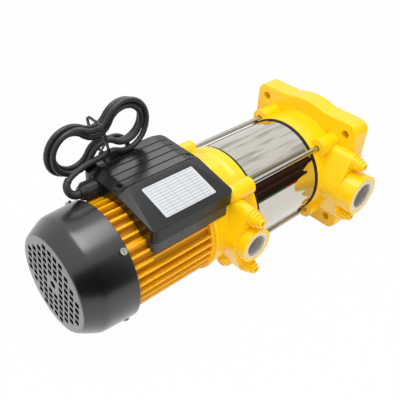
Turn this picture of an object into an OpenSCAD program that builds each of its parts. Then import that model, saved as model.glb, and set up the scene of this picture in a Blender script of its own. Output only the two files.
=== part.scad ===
// Horizontal multistage pump, close coupled to a finned motor, with a terminal box and its lead.
// The origin is the centre of the foot flange's back face. X runs out along the shaft, and the
// whole machine lies towards -X. Z points up to the terminal box and both ports face -Y.
// All lengths are in millimetres.

/* [Foot flange] */
// Distance between the foot holes, the same both ways
hole_pitch = 150; // [140:1:160]
// Diameter of the foot holes
foot_hole_d = 12; // [8:0.5:16]
// Distance from a foot hole's centre out to the flange's side
hole_edge = 18.5; // [16:0.5:24]
// How far the round swell stands past the flange's sides
swell_over = 6; // [3:0.5:10]
// Thickness of the flange
flange_t = 30; // [24:1:34]
// Radius of the flange's corners
flange_corner_r = 15.5; // [8:0.5:18]
// Rounding of the flange's edges
flange_edge_r = 3; // [1:0.5:5]

/* [Pump casings] */
// How far the casings' rims stand out past the sleeve
rim_over = 2.5; // [2:0.25:4]
// Length of the suction casing, from the flange's back to its rim
suction_len = 73; // [70:0.5:80]
// Length of the discharge casing, from its rim to the motor
discharge_len = 76; // [72:0.5:84]
// Wall of the casings inside the sleeve
spigot_wall = 9.7; // [8:0.1:12]
// Length of the polished sleeve
sleeve_len = 122; // [110:0.5:150]
// Diameter of the polished sleeve
sleeve_d = 147; // [146:0.5:148]
// Wall of the polished sleeve
sleeve_wall = 1.5; // [1:0.1:2]
// Thickness of the black gasket at each end of the sleeve
gasket_t = 3.5; // [2.5:0.1:5]
// Diameter of the four tie rods
rod_d = 7; // [6:0.25:7.5]
// Gap between the sleeve and the tie rods
rod_gap = 1.63; // [1.5:0.01:2.5]

/* [Ports] */
// Distance from the flange's back to the suction port's axis
suction_port_x = 36; // [34:0.5:37]
// Distance from the shaft axis to the suction port's mouth
suction_mouth = 129; // [124:0.5:136]
// Thread core diameter of the suction port
suction_hole_d = 39; // [34:0.5:41]
// Distance from the sleeve end of the discharge casing to the discharge port's axis
discharge_port_x = 34; // [33:0.5:36]
// Distance from the shaft axis to the discharge port's mouth
discharge_mouth = 104.5; // [102:0.5:112]
// Thread core diameter of the discharge port
discharge_hole_d = 30.2; // [26:0.2:33]
// Height of the filling and drain plugs above and below the suction port
suction_plug_z = 45; // [42:0.5:46]
// Height of the filling and drain plugs above and below the discharge port
discharge_plug_z = 39; // [38:0.5:41]

/* [Pump stages] */
// Number of pump stages
stages = 5; // [2:1:5]
// Gap between the impellers' rims and the stages' walls
impeller_gap = 16.7; // [14:0.1:22]
// Blades on an impeller
impeller_blades = 6; // [4:1:8]
// Diameter of an impeller's eye
eye_d = 40; // [34:1:44]
// Diameter of the shaft under the impellers
shaft_d = 14; // [12:0.5:15]

/* [Motor] */
// Length of the motor frame
frame_len = 126; // [122:1:140]
// Height of the cooling fins
fin_height = 9; // [7.5:0.5:10]
// How much smaller the frame is between its fins than the sleeve, at each side
frame_drop = 11; // [9.5:0.25:11.5]
// Cooling fins round the frame
fin_count = 36; // [24:12:36]
// Thickness of a fin
fin_t = 3; // [2:0.1:4]
// Wall of the motor frame
frame_wall = 3.5; // [3:0.25:4.5]
// Length of the frame behind the iron cores
core_inset = 24; // [20:1:32]
// Thickness of the stator ring
stator_t = 24.5; // [23.5:0.25:28]
// Gap between the rotor and the stator
air_gap = 0.5; // [0.3:0.05:0.8]
// Stator slots
slot_count = 24; // [12:12:24]

/* [Fan cover] */
// How far the fan cover's mouth stands out past the fins
cover_over = 6.5; // [6:0.25:8]
// Length of the fan cover
cover_len = 67; // [64:0.5:74]
// How far the cover narrows from its mouth to its grille face, at each side
face_drop = 16.4; // [15:0.2:19]
// Distance between the grille's holes
grille_pitch = 11; // [10.5:0.1:11.5]
// Width of a grille hole
grille_hole = 8; // [6:0.1:8.5]
// Fan blades
fan_blades = 7; // [5:1:9]

/* [Terminal box] */
// Distance from the frame's fan end to the lid's end
lid_inset = 29; // [24:0.5:34]
// How far the lid's sides stand in from the body that it sits on
lid_in = 6.7; // [4:0.1:8]
// Height of the lid's flat top above the body that it sits on
lid_rise = 15; // [14:0.5:22]
// Height of the lid from its joint with the box to its flat top
lid_h = 36; // [34:0.5:38]
// Distance from the rating plate's far side to the facet at the fan end of the lid
plate_room = 12.5; // [8:0.5:24]
// Width of the rating plate
plate_w = 48; // [36:0.5:54]

/* [Lead] */
// Diameter of the lead
cord_d = 7.2; // [7:0.1:7.3]
// Diameter of the cable gland's nut
gland_d = 24; // [22:0.5:26]

/* [Hidden] */

$fn = 64;
cut = 1;                    // overrun of every cut
fit = 0.1;                  // radial clearance of fitted pieces in one body
free = 0.3;                 // clearance between pieces of different bodies
quarter = 90;

yellow = "#f2b705";
black = "#1c1c1e";
steel = "#c9ccd0";
iron = "#6d7075";
copper = "#b5652b";
brass = "#c9a24b";
white = "#eceeee";

// Diameters and heights that follow from the sizes above
flange_w = hole_pitch + 2*hole_edge;
flange_swell_d = flange_w + 2*swell_over;
casing_d = sleeve_d + 2*rim_over;
fin_root_d = sleeve_d - 2*frame_drop;
rod_pitch = sqrt(2)*(sleeve_d/2 + rod_gap + rod_d/2);
fin_tip_d = fin_root_d + 2*fin_height;
frame_bore_d = fin_root_d - 2*frame_wall;
cover_d = fin_tip_d + 2*cover_over;
grille_face_d = cover_d - 2*face_drop;
rotor_d = frame_bore_d - 2*(stator_t + air_gap);
bolt_out = 0.715;           // the tie bolts' centres past the frame's surface
bolt_pitch = sqrt(2)*(fin_root_d/2 + bolt_out);
seat_over = 4.5;            // the pump's body past the motor's fins, at least
body_r = max(casing_d/2, fin_tip_d/2 + seat_over);
lid_w = 2*(body_r - lid_in);
lid_top_z = body_r + lid_rise;
box_joint_z = lid_top_z - lid_h;

// Places along the shaft
x_rim = -suction_len;
x_sleeve_1 = x_rim - gasket_t;
x_sleeve_2 = x_sleeve_1 - sleeve_len;
x_disrim = x_sleeve_2 - gasket_t;
x_motor = x_disrim - discharge_len;
x_frame_end = x_motor - frame_len;
x_suction_port = -suction_port_x;
x_discharge_port = x_disrim - discharge_port_x;

// Casing walls
spigot_len = 11;            // how far each casing reaches into the sleeve
spigot_r = sleeve_d/2 - sleeve_wall - free;
chamber_d = 2*(spigot_r - spigot_wall);
back_wall = 12;             // closed end of the suction casing
rim_edge_r = 1.2;           // rounding of the rims
x_spigot_1 = x_rim - spigot_len;
x_spigot_2 = x_disrim + spigot_len;

// Tie rod bosses
suction_boss_r = 13;
suction_boss_drop = 8;      // from the rim back to the suction bosses' faces
discharge_boss_r = 12;
discharge_boss_drop = 5;
discharge_boss_len = 30;    // length of the straight part, before its round end
rod_depth = 38;             // how deep the rods are screwed into the discharge bosses
rod_hole_gap = 0.8;
rod_sink_r = 10;            // counterbores for the nuts at the flange's back
rod_sink_depth = 12;
washer_t = 1.5;
washer_r = 7.8;
nut_t = 6;
rod_proud = 2;              // the rods' ends past their nuts
nut_across = 13;
x_suction_boss = x_rim + suction_boss_drop;
x_discharge_boss = x_disrim - discharge_boss_drop;
x_rod_end = x_discharge_boss - rod_depth;
x_nut = -rod_sink_depth + washer_t;

// Port blocks
suction_neck_r = 30.5;
suction_block_r = 32;
suction_block_y = 104;
discharge_neck_r = 24.5;
discharge_block_r = 28;
discharge_block_y = 92;
block_end_r = 12;           // rounding of a block's upper and lower end
plug_boss_r = 11;
plug_boss_t = 4;            // how far a plug's boss stands past its block
plug_collar_r = 10;
plug_collar_t = 4;
plug_head_r = 8;
plug_head_t = 5;
plug_tip_r = 6.2;
plug_tip_t = 4.5;
plug_thread_r = 4.9;
plug_thread_len = 16;
hex_r = 3.4;
hex_depth = 5;

// Discharge casing and bearing bracket
rim_t = 13;
waist_drop = 3;             // the bracket's waist is this much smaller than the body
waist_run = 6;
joint_ring_over = 3;        // ring where the bracket meets the motor, past the fins
joint_ring_t = 5;
chamber_len = 36;
volute_len = 14;             // ring of the chamber round the seal
volute_wall = 5;
seal_hub_r = 24;
bore_start = 30;             // the port's bores start this far from the axis
seal_wall = 12;
hub_r = 27;
pocket_wall = 9;            // from the dry space round the bearing hub out to the frame's bore
bracket_spigot = 6;
rib_count = 6;
rib_t = 6;
waist_r = body_r - waist_drop;
joint_ring_r = fin_tip_d/2 + joint_ring_over;
pocket_r = frame_bore_d/2 - pocket_wall;
x_chamber_end = x_disrim - chamber_len;
x_seal_wall = x_chamber_end - seal_wall;
x_bracket_spigot = x_motor - bracket_spigot;

// Bearings
front_bearing_w = 12;
front_bearing_r = 20;
front_journal_r = 8.5;
rear_bearing_w = 11;
rear_bearing_r = 17.5;
rear_journal_r = 7.5;
race_t = 3.2;
ball_share = 0.42;          // a ball's radius as a share of the space between the races
front_bearing_inset = 3;
rear_bearing_inset = 2;
hub_gap = 2;                // room round the slinger and the front bearing
ball_count = 8;
x_front_bearing = x_motor + front_bearing_inset;
shield_t = 14;
cover_wall = 2.5;           // wall of the fan cover
cover_lap = 3;              // the cover's mouth past the end of the frame
cover_taper = 2;            // the cover is this much narrower at its crease
crease_len = 42;
x_shield_end = x_frame_end - shield_t;
x_rear_bearing = x_frame_end + rear_bearing_inset;
x_rear_bearing_end = x_rear_bearing - rear_bearing_w;

// Shapes used by several pieces

// A cylinder along X between two places
module xcyl(r, x1, x2, sides = $fn)
    translate([min(x1, x2), 0, 0])
        rotate([0, quarter, 0])
            cylinder(r = r, h = abs(x2 - x1), $fn = sides);

// A cone along X
module xcone(r1, r2, x1, x2)
    translate([x1, 0, 0])
        rotate([0, x2 > x1 ? quarter : -quarter, 0])
            cylinder(r1 = r1, r2 = r2, h = abs(x2 - x1));

// A tube along X
module xtube(outer, inner, x1, x2)
    difference() {
        xcyl(outer, x1, x2);
        xcyl(inner, min(x1, x2) - cut, max(x1, x2) + cut);
    }

// A cylinder along Y between two places
module ycyl(r, y1, y2, sides = $fn)
    translate([0, max(y1, y2), 0])
        rotate([quarter, 0, 0])
            cylinder(r = r, h = abs(y2 - y1), $fn = sides);

// A profile of [radius, x] points turned round the shaft axis
module xturn(points)
    rotate([0, quarter, 0])
        rotate_extrude()
            polygon(points);

// Copies at the corners of a square round the shaft axis
module at_corners(pitch)
    for (side_y = [-1, 1], side_z = [-1, 1])
        translate([0, side_y*pitch/2, side_z*pitch/2])
            children();

// Copies turned evenly round the shaft axis
module around(count, start = 0)
    for (i = [0:count - 1])
        rotate([start + i*360/count, 0, 0])
            children();

// Points of a round edge: a quarter arc with its centre, radius and first angle
function arc(cx, cy, r, from, to, steps = 6) =
    [for (i = [0:steps]) let (a = from + (to - from)*i/steps) [cx + r*cos(a), cy + r*sin(a)]];

// A rectangle with round corners, centred
module round_rect(w, h, r) {
    square([w - 2*r, h], center = true);
    square([w, h - 2*r], center = true);
    for (sx = [-1, 1], sy = [-1, 1])
        translate([sx*(w/2 - r), sy*(h/2 - r)])
            circle(r);
}

// The block round a port, from the middle of the casing out to its face
module port_block(r_mid, r_end, reach, face)
    rotate([quarter, 0, 0])
        linear_extrude(face)
            hull() {
                circle(r_mid);
                for (side = [-1, 1])
                    translate([0, side*reach])
                        circle(r_end);
            }

// One filling or drain plug with its stub screwed in behind the collar
module water_plug(seat)
    difference() {
        union() {
            ycyl(plug_collar_r, -seat, -seat - plug_collar_t);
            ycyl(plug_head_r, -seat - plug_collar_t, -seat - plug_collar_t - plug_head_t);
            ycyl(plug_tip_r, -seat - plug_collar_t - plug_head_t,
                -seat - plug_collar_t - plug_head_t - plug_tip_t);
            ycyl(plug_thread_r, -seat + plug_thread_len, -seat);
        }
        ycyl(hex_r, -seat - plug_collar_t - plug_head_t - plug_tip_t + hex_depth,
            -seat - plug_collar_t - plug_head_t - plug_tip_t - cut, 6);
    }

// Pump casings

suction_seat = suction_block_y + plug_boss_t;
discharge_seat = discharge_block_y + plug_boss_t;

// The flange's outline before its edges are rounded
module flange_body() {
    hull()
        for (sy = [-1, 1], sz = [-1, 1])
            translate([0, sy*(flange_w/2 - flange_corner_r), sz*(flange_w/2 - flange_corner_r)])
                rotate([0, -quarter, 0])
                    rotate_extrude($fn = 48)
                        edge_profile(flange_corner_r);
    rotate([0, -quarter, 0])
        rotate_extrude()
            edge_profile(flange_swell_d/2);
}

// Half section of a disc of the flange's thickness with both edges rounded
module edge_profile(r)
    polygon(concat(
        [[0, 0]],
        arc(r - flange_edge_r, flange_edge_r, flange_edge_r, -quarter, 0, 4),
        arc(r - flange_edge_r, flange_t - flange_edge_r, flange_edge_r, 0, quarter, 4),
        [[0, flange_t]]
    ));

module suction_casing() color(yellow)
    difference() {
        union() {
            flange_body();
            xturn(concat(
                [[0, -back_wall], [casing_d/2, -back_wall]],
                arc(casing_d/2 - rim_edge_r, x_rim + rim_edge_r, rim_edge_r, 0, -quarter, 3),
                [[0, x_rim]]
            ));
            xcyl(spigot_r, -back_wall, x_spigot_1);
            at_corners(rod_pitch)
                xcyl(suction_boss_r, -flange_edge_r, x_suction_boss);
            translate([x_suction_port, 0, 0]) {
                port_block(suction_block_r, block_end_r, suction_plug_z, suction_block_y);
                ycyl(suction_neck_r, 0, -suction_mouth);
                for (side = [-1, 1])
                    translate([0, 0, side*suction_plug_z])
                        ycyl(plug_boss_r, 0, -suction_seat);
            }
        }
        xcyl(chamber_d/2, -back_wall, x_spigot_1 - cut);
        at_corners(rod_pitch) {
            xcyl(rod_d/2 + rod_hole_gap, cut, x_spigot_1 - cut);
            xcyl(rod_sink_r, cut, -rod_sink_depth);
        }
        at_corners(hole_pitch)
            xcyl(foot_hole_d/2, cut, -flange_t - cut);
        translate([x_suction_port, 0, 0]) {
            ycyl(suction_hole_d/2, 0, -suction_mouth - cut);
            for (side = [-1, 1])
                translate([0, 0, side*suction_plug_z])
                    ycyl(plug_thread_r + fit, 0, -suction_seat - cut);
        }
    }

module discharge_casing() color(yellow)
    difference() {
        union() {
            xturn(concat(
                [[0, x_disrim]],
                arc(casing_d/2 - rim_edge_r, x_disrim - rim_edge_r, rim_edge_r, quarter, 0, 3),
                [[casing_d/2, x_disrim - rim_t], [waist_r, x_disrim - rim_t - waist_run],
                [waist_r, x_motor + joint_ring_t + waist_run/2], [joint_ring_r, x_motor + joint_ring_t],
                [joint_ring_r, x_motor], [0, x_motor]]
            ));
            xcyl(spigot_r, x_disrim - cut, x_spigot_2);
            xcyl(frame_bore_d/2 - free, x_motor + cut, x_bracket_spigot);
            at_corners(rod_pitch)
                xturn(concat(
                    [[0, x_discharge_boss], [discharge_boss_r, x_discharge_boss]],
                    arc(0, x_discharge_boss - discharge_boss_len, discharge_boss_r, 0, -quarter)
                ));
            translate([x_discharge_port, 0, 0]) {
                port_block(discharge_block_r, block_end_r, discharge_plug_z, discharge_block_y);
                ycyl(discharge_neck_r, 0, -discharge_mouth);
                for (side = [-1, 1])
                    translate([0, 0, side*discharge_plug_z])
                        ycyl(plug_boss_r, 0, -discharge_seat);
            }
        }
        xcyl(chamber_d/2, x_spigot_2 + cut, x_chamber_end);
        difference() {
            xcyl(chamber_d/2, x_chamber_end + cut, x_chamber_end - volute_len);
            xcyl(seal_hub_r, x_chamber_end, x_chamber_end - volute_len - cut);
        }
        xcyl(seal_seat_r, x_chamber_end + cut, x_chamber_end - seal_seat_t);
        xcyl(front_journal_r + free, x_chamber_end + cut, x_bracket_spigot - cut);
        xcyl(slinger_r + 2*free, x_seal_wall + hub_gap, x_front_bearing + front_bearing_w + hub_gap);
        xcyl(front_bearing_r, x_front_bearing + front_bearing_w, x_bracket_spigot - cut);
        difference() {
            xtube(pocket_r, hub_r, x_chamber_end - volute_len - volute_wall, x_bracket_spigot - cut);
            around(rib_count)
                translate([x_motor, -rib_t/2, 0])
                    cube([discharge_len, rib_t, casing_d/2]);
        }
        xcyl(pocket_r - cut, x_motor, x_bracket_spigot - cut);
        at_corners(rod_pitch)
            xcyl(rod_d/2 + fit, x_spigot_2 + cut, x_rod_end);
        at_corners(bolt_pitch)
            xcyl(bolt_d/2, x_motor - bracket_spigot - cut, x_motor + bolt_depth);
        translate([x_discharge_port, 0, 0]) {
            ycyl(discharge_hole_d/2, -bore_start, -discharge_mouth - cut);
            for (side = [-1, 1])
                translate([0, 0, side*discharge_plug_z])
                    ycyl(plug_thread_r + fit, -bore_start, -discharge_seat - cut);
        }
    }

module pump_sleeve() color(steel)
    xtube(sleeve_d/2, sleeve_d/2 - sleeve_wall, x_sleeve_1, x_sleeve_2);

module sleeve_gaskets() color(black) {
    gasket_r = rod_pitch/sqrt(2) - rod_d/2 - free;
    xtube(gasket_r, spigot_r + free, x_rim, x_sleeve_1);
    xtube(gasket_r, spigot_r + free, x_sleeve_2, x_disrim);
}

module tie_rods() color(steel)
    at_corners(rod_pitch)
        xcyl(rod_d/2, x_nut + nut_t + rod_proud, x_rod_end);

module tie_rod_washers() color(steel)
    at_corners(rod_pitch)
        xtube(washer_r, rod_d/2 + fit, -rod_sink_depth, x_nut);

module tie_rod_nuts() color(steel)
    at_corners(rod_pitch)
        difference() {
            xcyl(nut_across/sqrt(3), x_nut, x_nut + nut_t, 6);
            xcyl(rod_d/2 + fit/2, x_nut - cut, x_nut + nut_t + cut);
        }

module filling_plugs() color(brass) {
    translate([x_suction_port, 0, suction_plug_z])
        water_plug(suction_seat);
    translate([x_discharge_port, 0, discharge_plug_z])
        water_plug(discharge_seat);
}

module drain_plugs() color(brass) {
    translate([x_suction_port, 0, -suction_plug_z])
        water_plug(suction_seat);
    translate([x_discharge_port, 0, -discharge_plug_z])
        water_plug(discharge_seat);
}

// Pump stages and shaft

stack_wall = 2.5;
stack_gap = 3;              // between the stages and the casings' bores
stack_r = spigot_r - stack_gap;
impeller_d = 2*(stack_r - impeller_gap);
plate_t = 2;
stage_pitch = (x_spigot_1 - x_spigot_2 - plate_t)/stages;
shroud_t = 1.5;
shroud_gap = 1.5;           // running gap at each side of an impeller
impeller_share = 0.45;      // an impeller's width as a share of its stage
blade_t = 1.6;
hub_wall = 4;
neck_wall = 1.5;
neck_gap = 0.5;
vane_count = 8;
vane_t = 2;
vane_lean = 55;
blade_centre_share = 0.5;   // places of a blade's arc as shares of the impeller's radius
blade_radius_share = 0.66;
diffuser_r_share = 0.86;    // sizes and places of the diffusers as shares of the stages' radius
vane_place_share = 0.74;
vane_back_share = 0.3;
vane_len_share = 0.5;
nose_back = 26;             // the shaft's end behind the suction port's axis
spacer_drop = 1;
x_shaft_nose = x_suction_port - nose_back;
spacer_gap = 0.05;
nut_len = 10;

function x_stage(i) = x_spigot_1 - plate_t - i*stage_pitch;
impeller_w = stage_pitch*impeller_share;
function x_impeller(i) = x_stage(i) - shroud_gap;

module inlet_plate() color(steel)
    xtube(stack_r, eye_d/2 + neck_gap, x_spigot_1, x_spigot_1 - plate_t);

module stage_casings() color(steel)
    for (i = [0:stages - 1])
        difference() {
            xcyl(stack_r, x_stage(i), x_stage(i + 1));
            xcyl(stack_r - stack_wall, x_stage(i) + cut, x_stage(i + 1) + plate_t);
            if (i < stages - 1)
                xcyl(eye_d/2 + neck_gap, x_stage(i), x_stage(i + 1) - cut);
            else
                xcyl(stack_r*blade_radius_share, x_stage(i), x_stage(i + 1) - cut);
        }

module diffusers() color("#3b3e42")
    for (i = [0:stages - 1]) {
        disc_x = x_impeller(i) - impeller_w - shroud_gap;
        xtube(stack_r*diffuser_r_share, shaft_d/2 + hub_wall + 2*free, disc_x, disc_x - plate_t);
        around(vane_count)
            translate([x_stage(i + 1) + plate_t, 0, stack_r*vane_place_share])
                rotate([vane_lean, 0, 0])
                    translate([0, -stack_r*vane_back_share, -vane_t/2])
                        cube([disc_x - plate_t - x_stage(i + 1) - plate_t + fit, stack_r*vane_len_share, vane_t]);
    }

// One closed impeller, its eye towards +X
module impeller() {
    r = impeller_d/2;
    difference() {
        union() {
            xtube(r, eye_d/2 - neck_wall, 0, -shroud_t);
            xtube(eye_d/2, eye_d/2 - neck_wall, shroud_gap + plate_t, -shroud_t);
            xcyl(r, -impeller_w + shroud_t, -impeller_w);
            xcyl(shaft_d/2 + hub_wall, shroud_gap, -impeller_w);
            around(impeller_blades)
                intersection() {
                    xcyl(r - blade_t/2, -shroud_t/2, -impeller_w + shroud_t/2);
                    translate([-impeller_w, -r, 0])
                        cube([impeller_w, 2*r, 2*r]);
                    translate([0, r*blade_centre_share, 0])
                        xtube(r*blade_radius_share, r*blade_radius_share - blade_t,
                            -shroud_t/2, -impeller_w + shroud_t/2);
                }
        }
        xcyl(shaft_d/2 + spacer_gap, shroud_gap + cut, -impeller_w - cut);
    }
}

module impellers() color(brass)
    for (i = [0:stages - 1])
        translate([x_impeller(i), 0, 0])
            impeller();

module impeller_spacers() color(steel)
    for (i = [0:stages - 1])
        xtube(shaft_d/2 + hub_wall - spacer_drop, shaft_d/2 + spacer_gap,
            x_impeller(i) - impeller_w,
            i < stages - 1 ? x_impeller(i + 1) + shroud_gap : x_seal_step);

module impeller_nut() color(steel)
    difference() {
        xcyl(nut_across/sqrt(3) + hub_wall, x_impeller(0) + shroud_gap,
            x_impeller(0) + shroud_gap + nut_len, 6);
        xcyl(shaft_d/2 + spacer_gap, x_impeller(0), x_shaft_nose);
    }

seal_step = 1;              // the shaft is this much thicker from the seal to the bearing
seal_step_back = 3;
core_front = 22;            // length of the frame in front of the iron cores
fan_back = 4;
shaft_tail = 3;             // the shaft's end past the fan
seal_step_r = shaft_d/2 + seal_step;
x_seal_step = x_disrim - seal_step_back;
core_len = frame_len - core_front - core_inset;
x_core_1 = x_motor - core_front;
x_core_2 = x_core_1 - core_len;
rotor_seat_r = 10;
fan_seat_r = 6;
x_fan_1 = x_shield_end - fan_back;
fan_len = 30;
x_shaft_tail = x_fan_1 - fan_len - shaft_tail;

module shaft() color(steel) {
    xcyl(shaft_d/2, x_shaft_nose, x_seal_step);
    xcyl(seal_step_r, x_seal_step, x_front_bearing + front_bearing_w);
    xcyl(front_journal_r, x_front_bearing + front_bearing_w, x_front_bearing);
    xcyl(rotor_seat_r, x_front_bearing, x_rear_bearing);
    xcyl(rear_journal_r, x_rear_bearing, x_rear_bearing_end);
    xcyl(fan_seat_r, x_rear_bearing_end, x_shaft_tail);
}

seal_seat_r = 17;
seal_seat_t = 8;
seal_head_r = 15;
seal_head_len = 20;
slinger_r = 14;
slinger_t = 3;

module seal_seat() color(white)
    xtube(seal_seat_r - fit, seal_step_r + free, x_chamber_end, x_chamber_end - seal_seat_t);

module seal_head() color(iron)
    xtube(seal_head_r, seal_step_r, x_chamber_end + free, x_chamber_end + seal_head_len);

module water_slinger() color(black)
    xtube(slinger_r, seal_step_r, x_seal_wall - slinger_t, x_seal_wall - 2*slinger_t);

// Outer ring and balls of a ball bearing between two places
module bearing_shell(inner, outer, x1, x2) {
    ball_room = outer - inner - 2*race_t;
    middle = (inner + outer)/2;
    ball_r = ball_room*ball_share + race_t/2;
    difference() {
        xtube(outer, outer - race_t, x1, x2);
        rotate([0, quarter, 0])
            translate([0, 0, (x1 + x2)/2])
                rotate_extrude()
                    translate([middle, 0])
                        circle(ball_r);
    }
}

module front_bearing() color(steel)
    bearing_shell(front_journal_r, front_bearing_r - fit,
        x_front_bearing, x_front_bearing + front_bearing_w);

module rear_bearing() color(steel)
    bearing_shell(rear_journal_r, rear_bearing_r - fit, x_rear_bearing, x_rear_bearing_end);

// Inner rings turn with the shaft and carry the balls
module inner_ring(inner, outer, x1, x2) {
    middle = (inner + outer)/2;
    ball_r = (outer - inner - 2*race_t)*ball_share + race_t/2 - free;
    xtube(inner + race_t, inner, x1, x2);
    around(ball_count)
        translate([(x1 + x2)/2, 0, middle])
            sphere(ball_r);
}

module bearing_inner_rings() color(steel) {
    inner_ring(front_journal_r, front_bearing_r - fit,
        x_front_bearing, x_front_bearing + front_bearing_w);
    inner_ring(rear_journal_r, rear_bearing_r - fit, x_rear_bearing, x_rear_bearing_end);
}

// Motor

bolt_d = 5;
bolt_depth = 12;
bolt_head_r = 4.2;
bolt_head_t = 4;
column_r = 6;
fin_stub = 5.5;             // height of the fins that are cut down under the terminal box
fin_pocket_r = fin_root_d/2 + fin_stub;
stator_r = frame_bore_d/2 - fit;
yoke_wall = 8;
slot_share = 0.55;          // a slot's width as a share of the slot spacing
winding_gap = 1;
winding_len = 11;
end_ring_len = 6;

// Cross-section of the finned frame, in the plane across the shaft
module frame_section()
    difference() {
        union() {
            circle(fin_root_d/2);
            for (i = [0:fin_count - 1])
                rotate((i + 0.5)*360/fin_count)
                    translate([fin_root_d/2 - cut, -fin_t/2])
                        square([(fin_tip_d - fin_root_d)/2 + cut, fin_t]);
            for (sy = [-1, 1], sz = [-1, 1])
                translate([sy*bolt_pitch/2, sz*bolt_pitch/2])
                    circle(column_r);
        }
        circle(frame_bore_d/2);
        for (sy = [-1, 1], sz = [-1, 1])
            translate([sy*bolt_pitch/2, sz*bolt_pitch/2])
                circle(bolt_d/2 + 2*fit);
    }

module motor_frame() color(yellow) {
    difference() {
        translate([x_frame_end, 0, 0])
            rotate([quarter, 0, quarter])
                linear_extrude(frame_len)
                    frame_section();
        difference() {
            translate([x_box_end, -base_w/2, 0])
                cube([base_len, base_w, casing_d]);
            xcyl(fin_pocket_r, x_motor + cut, x_frame_end);
        }
    }
    difference() {
        xtube(fin_tip_d/2 + free, fin_root_d/2 - cut, x_motor, x_motor - joint_ring_t);
        at_corners(bolt_pitch)
            xcyl(bolt_d/2 + 2*fit, x_motor + cut, x_motor - joint_ring_t - cut);
    }
}

module stator_core() color(iron)
    difference() {
        xcyl(stator_r, x_core_1, x_core_2);
        xcyl(rotor_d/2 + air_gap, x_core_1 + cut, x_core_2 - cut);
        around(slot_count)
            translate([x_core_2 - cut, -slot_w/2, rotor_d/2])
                cube([core_len + 2*cut, slot_w, stator_r - yoke_wall - rotor_d/2]);
    }
slot_w = PI*rotor_d/slot_count*slot_share;

module stator_windings() color(copper) {
    for (end = [[x_core_1, x_core_1 + winding_len], [x_core_2 - winding_len, x_core_2]])
        xtube(stator_r - yoke_wall, rotor_d/2 + 2*winding_gap, end[0], end[1]);
    around(slot_count)
        translate([x_core_2, -slot_w/2 + fit, rotor_d/2 + 2*winding_gap])
            cube([core_len, slot_w - 2*fit, stator_r - yoke_wall - rotor_d/2 - 3*winding_gap]);
}

module rotor_core() color(iron)
    difference() {
        union() {
            xcyl(rotor_d/2, x_core_1, x_core_2);
            xcyl(rotor_d/2 - yoke_wall/2, x_core_1 + end_ring_len, x_core_2 - end_ring_len);
        }
        xcyl(rotor_seat_r + spacer_gap, x_core_1 + winding_len, x_core_2 - winding_len);
    }

shield_drop = 1.5;          // the end shield is this much smaller than the fins
shield_r = fin_tip_d/2 - shield_drop;
shield_edge_r = cover_d/2 - cover_wall - cover_taper*(cover_lap + shield_t)/crease_len - free;
shield_spigot = 6;
shield_web = 5;
lug_w = 16;

module rear_end_shield() color(yellow)
    difference() {
        union() {
            xcyl(shield_r, x_frame_end, x_shield_end);
            xcyl(frame_bore_d/2 - free, x_frame_end + shield_spigot, x_frame_end - cut);
            intersection() {
                xcyl(shield_edge_r, x_frame_end, x_shield_end);
                around(4, quarter/2)
                    translate([x_shield_end, -lug_w/2, 0])
                        cube([shield_t, lug_w, casing_d]);
            }
        }
        difference() {
            xcyl(frame_bore_d/2 - column_r, x_frame_end + shield_spigot + cut, x_shield_end + shield_web);
            xcyl(rear_bearing_r + hub_wall, x_frame_end + shield_spigot + cut, x_shield_end);
        }
        xcyl(rear_bearing_r, x_frame_end + shield_spigot + cut, x_rear_bearing_end);
        xcyl(fan_seat_r + 2*free, x_frame_end, x_shield_end - cut);
        at_corners(bolt_pitch)
            xcyl(bolt_d/2 + 2*fit, x_frame_end + shield_spigot + cut, x_shield_end - cut);
        around(4, quarter/2)
            translate([x_cover_screw, 0, screw_end_r - fit])
                cylinder(r = cover_screw_r + fit, h = casing_d);
    }

module motor_tie_bolts() color(steel)
    at_corners(bolt_pitch) {
        xcyl(bolt_d/2, x_motor + bolt_depth, x_shield_end);
        xcyl(bolt_head_r, x_shield_end, x_shield_end - bolt_head_t, 6);
    }

fan_room = 16;              // from the blades out to the cover's mouth
fan_r = cover_d/2 - fan_room;
fan_hub_r = 14;
fan_disc_t = 2.5;
fan_blade_t = 2.5;
clip_t = 1.2;

module cooling_fan() color(black)
    difference() {
        union() {
            xcyl(fan_hub_r, x_fan_1, x_fan_1 - fan_len);
            xcyl(fan_r, x_fan_1 - fan_disc_t, x_fan_1 - 2*fan_disc_t);
            around(fan_blades)
                translate([x_fan_1 - fan_len, -fan_blade_t/2, fan_hub_r - cut])
                    cube([fan_len - fan_disc_t, fan_blade_t, fan_r - fan_hub_r - cut]);
        }
        xcyl(fan_seat_r + spacer_gap, x_fan_1 + cut, x_fan_1 - fan_len - cut);
    }

module fan_clip() color(steel)
    xtube(fan_seat_r + clip_t, fan_seat_r, x_fan_1 - fan_len, x_fan_1 - fan_len - clip_t);

// Fan cover

shoulder_len = 4;
shoulder_drop = 1.2;
face_lip = 3.4;             // from the cone's end in to the grille face
cone_r = grille_face_d/2 + face_lip;
cone_len = 63;
face_edge = 1.2;
grille_turn = 8.6;
grille_rim = 8.1;           // plain ring round the grille's holes
grille_field_d = grille_face_d - 2*grille_rim;
grille_reach = 5;           // grille holes each way from the middle
grille_corner_r = 5.1;
grille_middle_r = 5.3;
cover_screw_r = 2;
cover_screw_head_r = 4.2;
cover_screw_head_t = 2.2;
cover_screw_drop = 6;
slot_t = 1;
cross_share = 0.65;         // half length of a screw's cross slot as a share of its head's radius
screw_end_gap = 1;          // between the screws and the motor's tie bolts
x_cover = x_frame_end + cover_lap;
x_face = x_cover - cover_len;
x_cover_screw = x_cover - cover_screw_drop;
screw_end_r = bolt_pitch/sqrt(2) + bolt_d/2 + screw_end_gap;

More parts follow.
